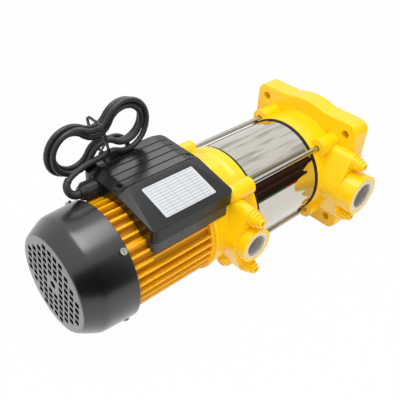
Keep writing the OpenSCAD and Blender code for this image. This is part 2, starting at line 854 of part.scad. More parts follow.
// Outside of the fan cover, or its inside when inset by the wall
module cover_form(inset)
    xturn([
        [0, x_cover + inset],
        [cover_d/2 - inset, x_cover + inset],
        [cover_d/2 - cover_taper - inset, x_cover - crease_len],
        [cover_d/2 - cover_taper - shoulder_drop - inset, x_cover - crease_len - shoulder_len],
        [cone_r - inset, x_cover - cone_len + inset/2],
        [cone_r - face_edge - inset, x_face + face_edge + inset/2],
        [grille_face_d/2 - inset, x_face + inset],
        [0, x_face + inset]
    ]);

// The square holes of the grille, on a lattice that skips the middle
module grille_holes()
    for (i = [-grille_reach:grille_reach], j = [-grille_reach:grille_reach])
        let (ci = i + 0.5, cj = j + 0.5, away = norm([ci, cj]))
            if (away > 1 && away < grille_field_d/2/grille_pitch)
                translate([ci*grille_pitch, cj*grille_pitch])
                    intersection() {
                        square(grille_hole, center = true);
                        circle(grille_corner_r);
                    }

module fan_cover() color(black)
    difference() {
        cover_form(0);
        cover_form(cover_wall);
        translate([x_face - cut, 0, 0])
            rotate([grille_turn, 0, 0])
                rotate([quarter, 0, quarter])
                    linear_extrude(cover_wall + 2*cut)
                        grille_holes();
        xcyl(grille_middle_r, x_face - cut, x_face + cover_wall + cut);
        around(4, quarter/2)
            translate([x_cover_screw, 0, shield_edge_r - 2*cut])
                cylinder(r = cover_screw_r + fit, h = 2*cover_wall + 2*cut);
    }

module fan_cover_screws() color(steel)
    around(4, quarter/2)
        translate([x_cover_screw, 0, 0])
            difference() {
                union() {
                    translate([0, 0, screw_end_r])
                        cylinder(r = cover_screw_r, h = cover_d/2 - screw_end_r);
                    translate([0, 0, cover_d/2])
                        cylinder(r = cover_screw_head_r, h = cover_screw_head_t);
                }
                for (turn = [0, quarter])
                    rotate([0, 0, turn])
                        translate([-cover_screw_head_r*cross_share, -slot_t/2,
                            cover_d/2 + cover_screw_head_t - slot_t])
                            cube([2*cover_screw_head_r*cross_share, slot_t, slot_t + cut]);
            }

// Terminal box

lid_past_joint = 28;        // the lid's end past the joint of pump and motor
lid_corner_r = 7;
lid_wall = 2.5;
near_run = 18;              // facet at the pump end of the lid
near_drop = 3.6;
far_run = 13.5;             // facet at the fan end of the lid
far_drop = 6.4;
slope_start = 3;            // the front slope starts this far to the port side
slope_drop = 18.2;
groove_count = 5;
groove_first = 53.7;
groove_pitch = 13.8;
groove_w = 1.6;
groove_depth = 1.2;
groove_inset = 5.5;
base_inset = 3;
base_drop = 17;             // the box reaches this far below its joint with the lid
base_bottom_z = box_joint_z - base_drop;
lid_len = lid_past_joint + frame_len - lid_inset;
base_w = lid_w - 2*base_inset;
base_len = lid_len - 2*base_inset;
floor_t = 3;
x_lid_1 = x_motor + lid_past_joint;
x_lid_2 = x_lid_1 - lid_len;
x_box_end = x_lid_2 + base_inset;
lid_screw_inset = 8;
lid_screw_inset_near = 5.6;
lid_screw_y = 7.3;
lid_screw_r = 1.9;
lid_screw_head_r = 3.8;
lid_screw_head_t = 2.5;
lid_recess_r = 4.5;
lid_boss_r = 6.5;
screw_post_r = 4.5;
seat_drop = 9;              // from the lid's top down to the joint with the screw posts
seat_t = 2.5;
gland_gap = 0.577;          // between the gland's nut and the fins
gland_drop = 18.4;          // from the lid's top down to the gland
tab_w = 27;
tab_drop = 8;
gland_z = lid_top_z - gland_drop;
gland_y = sqrt(pow(fin_tip_d/2 + gland_d/2 + gland_gap, 2) - pow(gland_z, 2));
tab_top_z = lid_top_z - tab_drop;
saddle_r = body_r + free;   // hollow of the box and lid over the pump's body
lid_screw_places = [x_lid_2 + lid_screw_inset, x_lid_1 - lid_screw_inset_near];

// The lid's outside as a solid block, or its inside when inset by the wall
module lid_block(inset) {
    x1 = x_lid_2 + inset;
    x2 = x_lid_1 - inset;
    y2 = lid_w/2 - inset;
    y1 = -y2;
    ys = -slope_start;
    top = lid_top_z - inset;
    low = box_joint_z - (inset > 0 ? cut : 0);
    polyhedron(
        points = [
            [x1, y1, low], [x2, y1, low], [x2, y2, low], [x1, y2, low],
            [x1, y1, top - slope_drop], [x2, y1, top - slope_drop],
            [x2, ys, top - near_drop], [x2, y2, top - near_drop],
            [x_lid_1 - near_run, y2, top], [x_lid_2 + far_run, y2, top],
            [x1, y2, top - far_drop], [x1, ys, top - far_drop],
            [x_lid_2 + far_run, ys, top], [x_lid_1 - near_run, ys, top]
        ],
        faces = [
            [0, 1, 2, 3], [4, 5, 1, 0], [5, 6, 7, 2, 1], [7, 8, 9, 10, 3, 2], [10, 11, 4, 0, 3],
            [9, 8, 13, 12], [12, 13, 5, 4], [10, 9, 12, 11], [8, 7, 6, 13], [11, 12, 4], [13, 6, 5]
        ]
    );
}

// A prism over the box's outline between two heights
module box_prism(inset, z1, z2)
    translate([(x_lid_1 + x_lid_2)/2, 0, z1])
        linear_extrude(z2 - z1)
            round_rect(lid_len - 2*inset, lid_w - 2*inset, lid_corner_r);

// The raised part of the base's end wall that carries the gland
module gland_tab(gap)
    translate([x_lid_2 - gap, gland_y - tab_w/2 - gap, base_bottom_z])
        cube([base_inset + lid_wall + 2*gap, tab_w + 2*gap, tab_top_z - base_bottom_z + gap]);

module terminal_box_lid() color(black)
    difference() {
        union() {
            difference() {
                intersection() {
                    lid_block(0);
                    box_prism(0, base_bottom_z, lid_top_z + cut);
                }
                intersection() {
                    lid_block(lid_wall);
                    box_prism(lid_wall, base_bottom_z, lid_top_z);
                }
            }
            intersection() {
                for (x = lid_screw_places)
                    translate([x, lid_screw_y, lid_top_z - seat_drop])
                        cylinder(r = lid_boss_r, h = seat_drop);
                lid_block(cut/2);
            }
        }
        for (i = [0:groove_count - 1])
            difference() {
                translate([x_lid_2 + groove_inset,
                    groove_first - i*groove_pitch - groove_w/2, box_joint_z])
                    cube([lid_len - 2*groove_inset, groove_w, lid_top_z]);
                lid_block(groove_depth);
            }
        for (x = lid_screw_places)
            translate([x, lid_screw_y, lid_top_z - seat_drop - cut]) {
                cylinder(r = lid_screw_r + fit, h = seat_drop + 2*cut);
                translate([0, 0, seat_t + cut])
                    cylinder(r = lid_recess_r, h = seat_drop);
            }
        xcyl(fin_tip_d/2 + 2*free, x_motor - joint_ring_t, x_lid_2 - cut);
        xcyl(saddle_r, x_motor - joint_ring_t, x_lid_1 + cut);
        gland_tab(free);
    }

module terminal_box_base() color(black)
    difference() {
        union() {
            difference() {
                box_prism(base_inset, base_bottom_z, box_joint_z);
                box_prism(base_inset + lid_wall, base_bottom_z - cut, box_joint_z + cut);
            }
            intersection() {
                box_prism(base_inset, base_bottom_z, lid_top_z);
                union() {
                    xcyl(fin_pocket_r + free + floor_t, x_lid_2, x_lid_1);
                    xcyl(saddle_r + floor_t, x_motor - joint_ring_t - floor_t, x_lid_1);
                }
            }
            intersection() {
                for (x = lid_screw_places)
                    translate([x, lid_screw_y, box_joint_z - floor_t])
                        cylinder(r = screw_post_r, h = lid_top_z - seat_drop - box_joint_z + floor_t);
                box_prism(lid_wall + free, base_bottom_z, lid_top_z);
            }
            gland_tab(0);
        }
        xcyl(fin_pocket_r + free, x_box_end, x_lid_1 + cut);
        xcyl(fin_tip_d/2 + 2*free, x_box_end, x_lid_2 - cut);
        xcyl(saddle_r, x_motor - joint_ring_t - free, x_lid_1 + cut);
        for (x = lid_screw_places)
            translate([x, lid_screw_y, lid_top_z - seat_drop - screw_reach])
                cylinder(r = lid_screw_r + fit, h = seat_drop + screw_reach);
        translate([0, gland_y, gland_z])
            xcyl(gland_thread_r + fit, x_lid_2 - cut, x_lid_2 + base_inset + 2*lid_wall);
    }
screw_reach = 6;

module lid_screws() color(steel)
    for (x = lid_screw_places)
        translate([x, lid_screw_y, 0])
            difference() {
                union() {
                    translate([0, 0, lid_top_z - seat_drop + seat_t])
                        cylinder(r = lid_screw_head_r, h = lid_screw_head_t);
                    translate([0, 0, lid_top_z - seat_drop - screw_reach])
                        cylinder(r = lid_screw_r, h = screw_reach + seat_t + fit);
                }
                for (turn = [0, quarter])
                    rotate([0, 0, turn])
                        translate([-lid_screw_head_r*cross_share, -slot_t/2,
                            lid_top_z - seat_drop + seat_t + lid_screw_head_t - slot_t])
                            cube([2*lid_screw_head_r*cross_share, slot_t, slot_t + cut]);
            }

plate_t_thin = 0.4;
plate_corner_r = 2;
plate_near = 3;             // from the facet at the pump end to the plate
plate_len = lid_len - near_run - far_run - plate_near - plate_room;
plate_x_drop = near_run + plate_near + plate_len/2;
slope_angle = atan(slope_drop/(lid_w/2 - slope_start));
slope_mid = (lid_w/2 - slope_start)/2;

module rating_plate() color(white)
    translate([x_lid_1 - plate_x_drop, -slope_start - slope_mid,
        lid_top_z - slope_drop/2])
        rotate([slope_angle, 0, 0])
            linear_extrude(plate_t_thin)
                round_rect(plate_len, plate_w, plate_corner_r);

capacitor_share = 0.1842;   // the capacitor's radius as a share of the body's
capacitor_r = body_r*capacitor_share;
capacitor_room = 23;        // inside the box at the gland's end
capacitor_gap = 2.3;        // between the capacitor and the lid
x_capacitor = x_motor - joint_ring_t - 2*floor_t;
capacitor_len = x_capacitor - x_box_end - capacitor_room;
capacitor_z = lid_top_z - lid_wall - capacitor_gap - capacitor_r;
block_len = 50;
block_gap = 1.5;            // from the floor's step to the terminal block
x_block = x_motor - joint_ring_t - floor_t - block_gap;
block_w = 20;
block_t = 8;
block_y = 25;
block_wall = 2;

module capacitor() color(iron)
    translate([x_capacitor - capacitor_len,
        sqrt(pow(fin_pocket_r + free + floor_t + capacitor_r + free, 2) - pow(capacitor_z, 2)),
        capacitor_z])
        rotate([0, quarter, 0])
            cylinder(r = capacitor_r, h = capacitor_len);

module terminal_block() color(white)
    translate([x_block - block_len, -block_y - block_w/2,
        sqrt(pow(fin_pocket_r + free + floor_t, 2) - pow(block_y - block_w/2, 2)) + free])
        difference() {
            cube([block_len, block_w, block_t]);
            for (i = [0:3])
                translate([block_wall + i*block_len/4, block_wall, block_t/2])
                    cube([block_len/4 - 2*block_wall, block_w - 2*block_wall, block_t]);
        }

// Cable gland

gland_thread_r = 8;
gland_flange_r = 10.2;
gland_flange_t = 3;
gland_nut_len = 14;
gland_dome_len = 6;
gland_mouth_r = 8;
gland_ribs = 12;
gland_rib_w = 3;
gland_inside = 8;
seal_r = 5.5;
x_gland_nut = x_lid_2 - gland_flange_t;
x_gland_dome = x_gland_nut - gland_nut_len;
x_gland_mouth = x_gland_dome - gland_dome_len;

module gland_body() color(black)
    translate([0, gland_y, gland_z]) {
        xtube(gland_flange_r, seal_r + fit, x_lid_2, x_gland_nut);
        xtube(gland_thread_r, seal_r + fit, x_lid_2 + gland_inside, x_gland_nut);
    }

module gland_nut() color(black)
    translate([0, gland_y, gland_z])
        difference() {
            union() {
                xcyl(gland_d/2 - gland_rib_w/4, x_gland_nut, x_gland_dome);
                around(gland_ribs)
                    translate([x_gland_dome, -gland_rib_w/2, 0])
                        cube([gland_nut_len, gland_rib_w, gland_d/2]);
                xcone(gland_d/2 - gland_rib_w/4, gland_mouth_r, x_gland_dome, x_gland_mouth);
            }
            xcyl(seal_r + fit, x_gland_nut + cut, x_gland_mouth - cut);
        }

module gland_seal() color(black)
    translate([0, gland_y, gland_z])
        xcyl(seal_r, x_gland_nut + gland_inside, x_gland_mouth);

// The lead

// The lead leaves the gland through a bent boot, rises over the lid's end, is wound into a tied
// hank that stands on the lid's far edge, and then drops behind the machine to its plug.
cord_r = cord_d/2;
boot_r = 5.6;
boot_end_r = 4.4;
boot_bend_r = 10.5;
boot_turn = 155;
boot_lean = 30;             // the boot bends up and a little towards the lid's far edge
boot_straight = 2;
boot_rings = 12;

hank_turns = 3;
hank_middle = 1.5;          // turn at which the spiral reverses and climbs to the rear layer
hank_turnback = 0.1;        // share of a turn that softens the spiral's reversal
hank_rings = 24;            // rings in a turn
hank_step = cord_d + 0.7;
hank_fold_r = 22;           // centre line of the innermost fold
hank_waist_r = 22;
hank_reach = 38;            // from the hank's middle to the centre of a fold
hank_lean = 10.8;
lead_start = [x_lid_2, gland_y, lid_top_z];
hank_in = 25.5;             // the hank's middle in from the lid's end, aside of the gland, over the lid
hank_side = 22.9;
hank_rise = 29.6;
hank_place = lead_start + [hank_in, hank_side, hank_rise];
hank_entry = 0.3;           // share of a turn in which the ends move aside of the layers
waist_share = 0.11;         // shares of a turn spent on a waist run and on a fold
fold_share = 0.39;
climb_share = 0.5;

// Hand-chosen points of the two free stretches, from the lid's end over the gland
first_lead = [for (p = [
    [-29.1, 10.1, -0.9], [-23.2, 11.5, 1.4], [-10.5, 13.5, 4.9], [2.5, 14.7, 7],
    [14.9, 15, 8.4], [22, 15, 9.7]
]) lead_start + p];
second_lead = [for (p = [
    [36.1, 38.7, 12.4], [43.2, 38.7, 13.7], [56.6, 38.8, 13.2], [66, 39.1, 8.8],
    [72.4, 39.7, 2.7], [77, 40.5, -5.5], [78.8, 41.5, -15.8], [79.2, 42.6, -33],
    [79, 43.6, -53], [78, 44.6, -73], [78, 45.6, -93], [78, 46.6, -113], [80, 49.6, -134],
    [87, 53.6, -153], [101, 57.6, -169], [119, 60.6, -178], [137, 61.6, -182], [153, 61.6, -182.6],
    [163, 61.6, -180.6]
]) lead_start + p];

function blend(x) = let (c = max(0, min(1, x))) c*c*(3 - 2*c);

// A point of the hank's outline: r is the fold's radius there, s the share of the turn done
function hank_outline(r, s) =
    let (
        a = acos(hank_reach/(r + hank_waist_r)),
        rise = (r + hank_waist_r)*sin(a),
        w = waist_share/2,
        f = fold_share
    )
    s < w ? let (b = (quarter - a)*s/w)
        [hank_waist_r*sin(b), -rise + hank_waist_r*cos(b)] :
    s < w + f ? let (b = (180 - a)*(2*(s - w)/f - 1))
        [hank_reach + r*cos(b), r*sin(b)] :
    s < 3*w + f ? let (b = (quarter - a)*(1 - (s - w - f)/w))
        [hank_waist_r*sin(b), rise - hank_waist_r*cos(b)] :
    s < 3*w + 2*f ? let (b = a + (360 - 2*a)*(s - 3*w - f)/f)
        [-hank_reach + r*cos(b), r*sin(b)] :
        let (b = (quarter - a)*((s - 3*w - 2*f)/w - 1))
        [hank_waist_r*sin(b), -rise + hank_waist_r*cos(b)];

// The fold's radius at turn t, with a soft reversal of the spiral
function hank_radius(t) = hank_fold_r + hank_step*norm([t - hank_middle, hank_turnback]);

// The hank's centre line: it spirals in, climbs to the rear layer and spirals out again
function hank_point(t) =
    let (
        p = hank_outline(hank_radius(t), t - floor(t)),
        aside = blend(t/hank_entry) - 1 + blend((t - hank_turns)/hank_entry + 1)
            + blend((t - hank_middle)/climb_share + 0.5)
    )
    hank_place + [
        p[0]*cos(hank_lean) - p[1]*sin(hank_lean),
        hank_step*aside,
        p[0]*sin(hank_lean) + p[1]*cos(hank_lean)
    ];

hank_way = [cos(hank_lean), 0, sin(hank_lean)];
hank_route = concat(
    [hank_point(0) - cord_d*hank_way],
    [for (i = [0:hank_turns*hank_rings]) hank_point(i/hank_rings)],
    [hank_point(hank_turns) + cord_d*hank_way]
);

boot_route = concat(
    [[x_gland_mouth, gland_y, gland_z]],
    [for (i = [0:boot_rings]) let (a = boot_turn*i/boot_rings)
        [x_gland_mouth - boot_straight - boot_bend_r*sin(a),
            gland_y + boot_bend_r*(1 - cos(a))*sin(boot_lean),
            gland_z + boot_bend_r*(1 - cos(a))*cos(boot_lean)]]
);

function unit(v) = v/norm(v);
function way(route, i) =
    let (n = len(route) - 1)
    unit(i == 0 ? route[1] - route[0] :
        i == n ? route[n] - route[n - 1] :
        unit(route[i + 1] - route[i]) + unit(route[i] - route[i - 1]));

// A tube swept along a route, its radius going evenly from r1 to r2
module sweep(route, r1, r2, sides) {
    n = len(route);
    points = [for (i = [0:n - 1])
        let (
            ahead = way(route, i),
            side = unit(cross(ahead, [0, 1, 0])),
            up = cross(side, ahead),
            r = r1 + (r2 - r1)*i/(n - 1)
        )
        for (j = [0:sides - 1])
            route[i] + r*(cos(j*360/sides)*side + sin(j*360/sides)*up)];
    faces = concat(
        [for (j = [1:sides - 2]) [0, j, j + 1]],
        [for (j = [1:sides - 2]) [(n - 1)*sides, (n - 1)*sides + j + 1, (n - 1)*sides + j]],
        [for (i = [0:n - 2], j = [0:sides - 1])
            [i*sides + j, (i + 1)*sides + j, (i + 1)*sides + (j + 1)%sides]],
        [for (i = [0:n - 2], j = [0:sides - 1])
            [i*sides + j, (i + 1)*sides + (j + 1)%sides, i*sides + (j + 1)%sides]]
    );
    polyhedron(points, faces);
}

// Least gap of the hank to itself, printed
hank_gap = min([for (i = [0:len(hank_route) - 1], j = [i + 8:1:len(hank_route) - 1])
    norm(hank_route[i] - hank_route[j])]) - cord_d;
echo(hank_gap = hank_gap);

module cord_boot() color(black)
    sweep(boot_route, boot_r, boot_end_r, 10);

module power_cord() color(black) {
    sweep(first_lead, cord_r, cord_r, 10);
    sweep(second_lead, cord_r, cord_r, 10);
}

module cord_hank() color(black)
    sweep(hank_route, cord_r, cord_r, 6);

tie_t = 1.2;
tie_w = 4;
tie_gap = 0.4;

// A thin strap round all runs at the hank's waist
module cord_tie() color(black)
    translate(hank_place)
        rotate([0, -hank_lean, 0])
            translate([-tie_w/2, 0, 0])
                difference() {
                    tie_box(tie_t);
                    translate([-cut, 0, 0])
                        tie_box(0, 2*cut);
                }

tie_half = hank_waist_h(hank_fold_r + hank_step*hank_middle) + cord_r + tie_gap;
function hank_waist_h(r) = sqrt(pow(r + hank_waist_r, 2) - pow(hank_reach, 2)) - hank_waist_r;

module tie_box(wall, more = 0)
    translate([0, -hank_step - cord_r - tie_gap - wall, -tie_half - wall])
        cube([tie_w + more, 3*hank_step + cord_d + 2*tie_gap + 2*wall, 2*(tie_half + wall)]);

plug_relief_len = 26;
plug_relief_r = 7;
plug_neck_len = 14;
plug_head_len = 20;
plug_r = 17.5;
plug_neck_r = 12;
pin_r = 2.4;
pin_len = 19;
pin_spread = 19;
plug_at = second_lead[len(second_lead) - 1];
plug_way = unit(plug_at - second_lead[len(second_lead) - 2]);

// Turns X onto the lead's last direction at its end
module at_plug()
    translate(plug_at)
        rotate([0, -asin(plug_way[2]), atan2(plug_way[1], plug_way[0])])
            children();

module plug() color(black)
    at_plug() {
        xcone(cord_r + fit, plug_relief_r, 0, plug_relief_len);
        xcone(plug_relief_r, plug_neck_r, plug_relief_len, plug_relief_len + plug_neck_len);
        xcyl(plug_r, plug_relief_len + plug_neck_len,
            plug_relief_len + plug_neck_len + plug_head_len);
    }

module plug_pins() color(brass)
    at_plug()
        for (side = [-1, 1])
            translate([0, side*pin_spread/2, 0])
                xcyl(pin_r, plug_relief_len + plug_neck_len + plug_head_len,
                    plug_relief_len + plug_neck_len + plug_head_len + pin_len);

suction_casing();
discharge_casing();
pump_sleeve();
sleeve_gaskets();
tie_rods();
tie_rod_nuts();
tie_rod_washers();
filling_plugs();
drain_plugs();
inlet_plate();
stage_casings();
diffusers();
impellers();
impeller_spacers();
impeller_nut();
shaft();
seal_seat();
seal_head();
water_slinger();
front_bearing();
rear_bearing();
bearing_inner_rings();
motor_frame();
stator_core();
stator_windings();
rotor_core();
rear_end_shield();
motor_tie_bolts();
cooling_fan();
fan_clip();
fan_cover();
fan_cover_screws();
terminal_box_base();
terminal_box_lid();
lid_screws();
rating_plate();
capacitor();
terminal_block();
gland_body();
gland_nut();
gland_seal();
cord_boot();
power_cord();
cord_hank();
cord_tie();
plug();
plug_pins();
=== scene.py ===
import math

import bmesh
import bpy
from mathutils import Matrix, Vector


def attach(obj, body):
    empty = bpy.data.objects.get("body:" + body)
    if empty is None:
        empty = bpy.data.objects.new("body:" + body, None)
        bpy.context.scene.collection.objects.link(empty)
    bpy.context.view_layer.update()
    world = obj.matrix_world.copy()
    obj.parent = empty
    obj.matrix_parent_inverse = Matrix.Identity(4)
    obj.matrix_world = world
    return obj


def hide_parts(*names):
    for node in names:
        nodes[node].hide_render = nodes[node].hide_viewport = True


# The pump in the part's own frame: metres, X along the shaft and out of the foot flange,
# Z up to the terminal box, ports towards -Y. The lead's route repeats the CAD's points.
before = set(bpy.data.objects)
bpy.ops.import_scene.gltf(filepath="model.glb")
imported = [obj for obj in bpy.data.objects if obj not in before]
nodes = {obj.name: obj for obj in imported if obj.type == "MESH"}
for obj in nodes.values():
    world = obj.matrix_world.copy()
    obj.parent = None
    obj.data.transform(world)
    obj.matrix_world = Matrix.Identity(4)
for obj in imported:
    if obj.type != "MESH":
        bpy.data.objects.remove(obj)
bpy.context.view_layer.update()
scene = bpy.context.scene
scene.view_settings.view_transform = "Standard"
MM = 0.001
HOUSING = "housing"


def place(x, y, z):
    """A point given in millimetres, in metres."""
    return Vector((x, y, z))*MM


# Camera, from a fit to the photograph
SENSOR = 36.0
LENS = 50.18
CAMERA_AT = place(-665.6, -427.5, 475.5)
CAMERA_TURN = math.radians(44.951)
CAMERA_DIP = math.radians(37.477)
CAMERA_ROLL = math.radians(3.818)


def make_camera():
    """The photograph's camera, its roll included."""
    ahead = Vector((math.sin(CAMERA_TURN)*math.cos(CAMERA_DIP),
                    math.cos(CAMERA_TURN)*math.cos(CAMERA_DIP), -math.sin(CAMERA_DIP)))
    level = Vector((math.cos(CAMERA_TURN), -math.sin(CAMERA_TURN), 0))
    upright = level.cross(ahead)
    right = math.cos(CAMERA_ROLL)*level + math.sin(CAMERA_ROLL)*upright
    up = -math.sin(CAMERA_ROLL)*level + math.cos(CAMERA_ROLL)*upright
    lens = bpy.data.cameras.new("photo_camera")
    lens.lens = LENS
    lens.sensor_width = SENSOR
    lens.clip_start = 0.01
    lens.clip_end = 50
    camera = bpy.data.objects.new("photo_camera", lens)
    turn = Matrix((right, up, -ahead)).transposed().to_4x4()
    camera.matrix_world = Matrix.Translation(CAMERA_AT) @ turn
    scene.collection.objects.link(camera)
    scene.camera = camera


make_camera()

# The lead: the same points as in the part's source
CORD_D = 7.2
HANK_TURNS = 3
HANK_MIDDLE = 1.5
HANK_TURNBACK = 0.1
HANK_STEP = CORD_D + 0.7
HANK_FOLD_R = 22
HANK_WAIST_R = 22
HANK_REACH = 38
HANK_LEAN = math.radians(10.8)
HANK_PLACE = Vector((-349.5, 65.3, 120.6))
HANK_ENTRY = 0.3
WAIST_SHARE = 0.11
FOLD_SHARE = 0.39
CLIMB_SHARE = 0.5
HANK_SAMPLES = 60
GLAND_MOUTH = Vector((-398, 42.4, 72.6))
BOOT_BEND_R = 10.5
BOOT_TURN = math.radians(155)
BOOT_LEAN = math.radians(30)
BOOT_STRAIGHT = 2
BOOT_STEPS = 36
BOOT_R = 5.6
BOOT_END_R = 4.4
FIRST_LEAD = (
    (-404.1, 52.5, 90.1), (-398.2, 53.9, 92.4), (-385.5, 55.9, 95.9), (-372.5, 57.1, 98),
    (-360.1, 57.4, 99.4), (-353, 57.4, 100.7))
SECOND_LEAD = (
    (-338.9, 81.1, 103.4), (-331.8, 81.1, 104.7), (-318.4, 81.2, 104.2), (-309, 81.5, 99.8),
    (-302.6, 82.1, 93.7), (-298, 82.9, 85.5), (-296.2, 83.9, 75.2), (-295.8, 85, 58),
    (-296, 86, 38), (-297, 87, 18), (-297, 88, -2), (-297, 89, -22), (-295, 92, -43),
    (-288, 96, -62), (-274, 100, -78), (-256, 103, -87), (-238, 104, -91), (-222, 104, -91.6),
    (-212, 104, -89.6))


def blend(x):
    """A smooth step from 0 to 1."""
    c = max(0.0, min(1.0, x))
    return c*c*(3 - 2*c)


def hank_outline(r, s):
    """A point of the hank's outline: r is the fold's radius there, s the share of the turn done."""
    a = math.acos(HANK_REACH/(r + HANK_WAIST_R))
    rise = (r + HANK_WAIST_R)*math.sin(a)
    w = WAIST_SHARE/2
    f = FOLD_SHARE
    half = math.pi/2
    if s < w:
        b = (half - a)*s/w
        return HANK_WAIST_R*math.sin(b), -rise + HANK_WAIST_R*math.cos(b)
    if s < w + f:
        b = (math.pi - a)*(2*(s - w)/f - 1)
        return HANK_REACH + r*math.cos(b), r*math.sin(b)
    if s < 3*w + f:
        b = (half - a)*(1 - (s - w - f)/w)
        return HANK_WAIST_R*math.sin(b), rise - HANK_WAIST_R*math.cos(b)
    if s < 3*w + 2*f:
        b = a + (2*math.pi - 2*a)*(s - 3*w - f)/f
        return -HANK_REACH + r*math.cos(b), r*math.sin(b)
    b = (half - a)*((s - 3*w - 2*f)/w - 1)
    return HANK_WAIST_R*math.sin(b), -rise + HANK_WAIST_R*math.cos(b)


def hank_point(t):
    """The hank's centre line at turn t, in millimetres."""
    radius = HANK_FOLD_R + HANK_STEP*math.hypot(t - HANK_MIDDLE, HANK_TURNBACK)
    px, pz = hank_outline(radius, t - math.floor(t))
    aside = (blend(t/HANK_ENTRY) - 1 + blend((t - HANK_TURNS)/HANK_ENTRY + 1)
             + blend((t - HANK_MIDDLE)/CLIMB_SHARE + 0.5))
    lean_c, lean_s = math.cos(HANK_LEAN), math.sin(HANK_LEAN)
    return HANK_PLACE + Vector((px*lean_c - pz*lean_s, HANK_STEP*aside, px*lean_s + pz*lean_c))


def smooth_route(points, per_span=5):
    """Points close together on a curve that runs through the given ones."""
    points = [Vector(p) for p in points]
    padded = [2*points[0] - points[1]] + points + [2*points[-1] - points[-2]]
    out = []
    for i in range(1, len(padded) - 2):
        p0, p1, p2, p3 = padded[i - 1:i + 3]
        for k in range(per_span):
            u = k/per_span
            out.append(0.5*((2*p1) + (p2 - p0)*u + (2*p0 - 5*p1 + 4*p2 - p3)*u*u
                            + (3*p1 - p0 - 3*p2 + p3)*u*u*u))
    out.append(points[-1])
    return out


def lead_route():
    """The whole lead from the end of its boot to the plug, in metres."""
    way = Vector((math.cos(HANK_LEAN), 0, math.sin(HANK_LEAN)))
    start = hank_point(0)
    end = hank_point(HANK_TURNS)
    hank = [start - CORD_D*way]
    hank += [hank_point(i/HANK_SAMPLES) for i in range(HANK_TURNS*HANK_SAMPLES + 1)]
    hank += [end + CORD_D*way]
    first = smooth_route(list(FIRST_LEAD) + [hank[0], hank[1]])[:-5]
    last = smooth_route([hank[-2], hank[-1]] + list(SECOND_LEAD))[5:]
    joined = []
    for p in first + hank[1:-1] + last:
        if not joined or (p - joined[-1]).length > 0.4:
            joined.append(p)
    return [p*MM for p in joined]


def boot_line():
    """The bent boot's centre line with the boot's radius at each point, in metres."""
    out = [(GLAND_MOUTH*MM, BOOT_R*MM)]
    for i in range(BOOT_STEPS + 1):
        a = BOOT_TURN*i/BOOT_STEPS
        rise = BOOT_BEND_R*(1 - math.cos(a))
        p = GLAND_MOUTH + Vector((-BOOT_STRAIGHT - BOOT_BEND_R*math.sin(a),
                                  rise*math.sin(BOOT_LEAN), rise*math.cos(BOOT_LEAN)))
        groove = 0.35 if i % 4 == 2 and 2 < i < BOOT_STEPS - 2 else 0.0
        r = BOOT_R + (BOOT_END_R - BOOT_R)*i/BOOT_STEPS - groove
        out.append((p*MM, r*MM))
    return out


def tube_piece(name, lines, radius, body=HOUSING, rings=5):
    """A tube mesh along one or more lines of (point, share of the radius)."""
    data = bpy.data.curves.new(name, "CURVE")
    data.dimensions = "3D"
    data.bevel_depth = radius
    data.bevel_resolution = rings
    data.use_fill_caps = True
    for line in lines:
        spline = data.splines.new("POLY")
        spline.points.add(len(line) - 1)
        for spot, (p, share) in zip(spline.points, line):
            spot.co = (p.x, p.y, p.z, 1)
            spot.radius = share
        spline.use_smooth = True
    drawn = bpy.data.objects.new(name, data)
    form = bmesh.new()
    form.from_mesh(bpy.data.meshes.new_from_object(drawn))
    bpy.data.objects.remove(drawn)
    return mesh_piece(name, form, body)


def mesh_piece(name, form, body=HOUSING, smooth_angle=35):
    """A finished piece from a bmesh, smooth but for its sharp edges."""
    bmesh.ops.remove_doubles(form, verts=form.verts, dist=1e-7)
    bmesh.ops.recalc_face_normals(form, faces=form.faces)
    data = bpy.data.meshes.new(name)
    form.to_mesh(data)
    form.free()
    piece = bpy.data.objects.new(name, data)
    scene.collection.objects.link(piece)
    data.set_sharp_from_angle(angle=math.radians(smooth_angle))
    for face in data.polygons:
        face.use_smooth = True
    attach(piece, body)
    return piece


def turned(profile, sides=96):
    """A closed body of revolution round X from its outline of (x, r) points in millimetres."""
    form = bmesh.new()
    spots = [form.verts.new(place(x, 0, r)) for x, r in profile]
    edges = [form.edges.new((a, b)) for a, b in zip(spots, spots[1:])]
    bmesh.ops.spin(form, geom=spots + edges, cent=(0, 0, 0), axis=(1, 0, 0), angle=2*math.pi,
                   steps=sides, use_merge=True)
    bmesh.ops.remove_doubles(form, verts=form.verts, dist=1e-6)
    return form


LEAD = lead_route()
power_cord = tube_piece("lead", [[(p, 1) for p in LEAD]], CORD_D/2*MM)
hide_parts("power_cord", "cord_hank")
boot_points = boot_line()
boot = tube_piece("lead_boot", [[(p, r/(BOOT_R*MM)) for p, r in boot_points]], BOOT_R*MM, rings=7)
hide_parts("cord_boot")

# Plug at the far end, lying on the floor behind the machine
PLUG_RELIEF = 26
PLUG_NECK = 14
PLUG_HEAD = 20
PLUG_R = 17.5


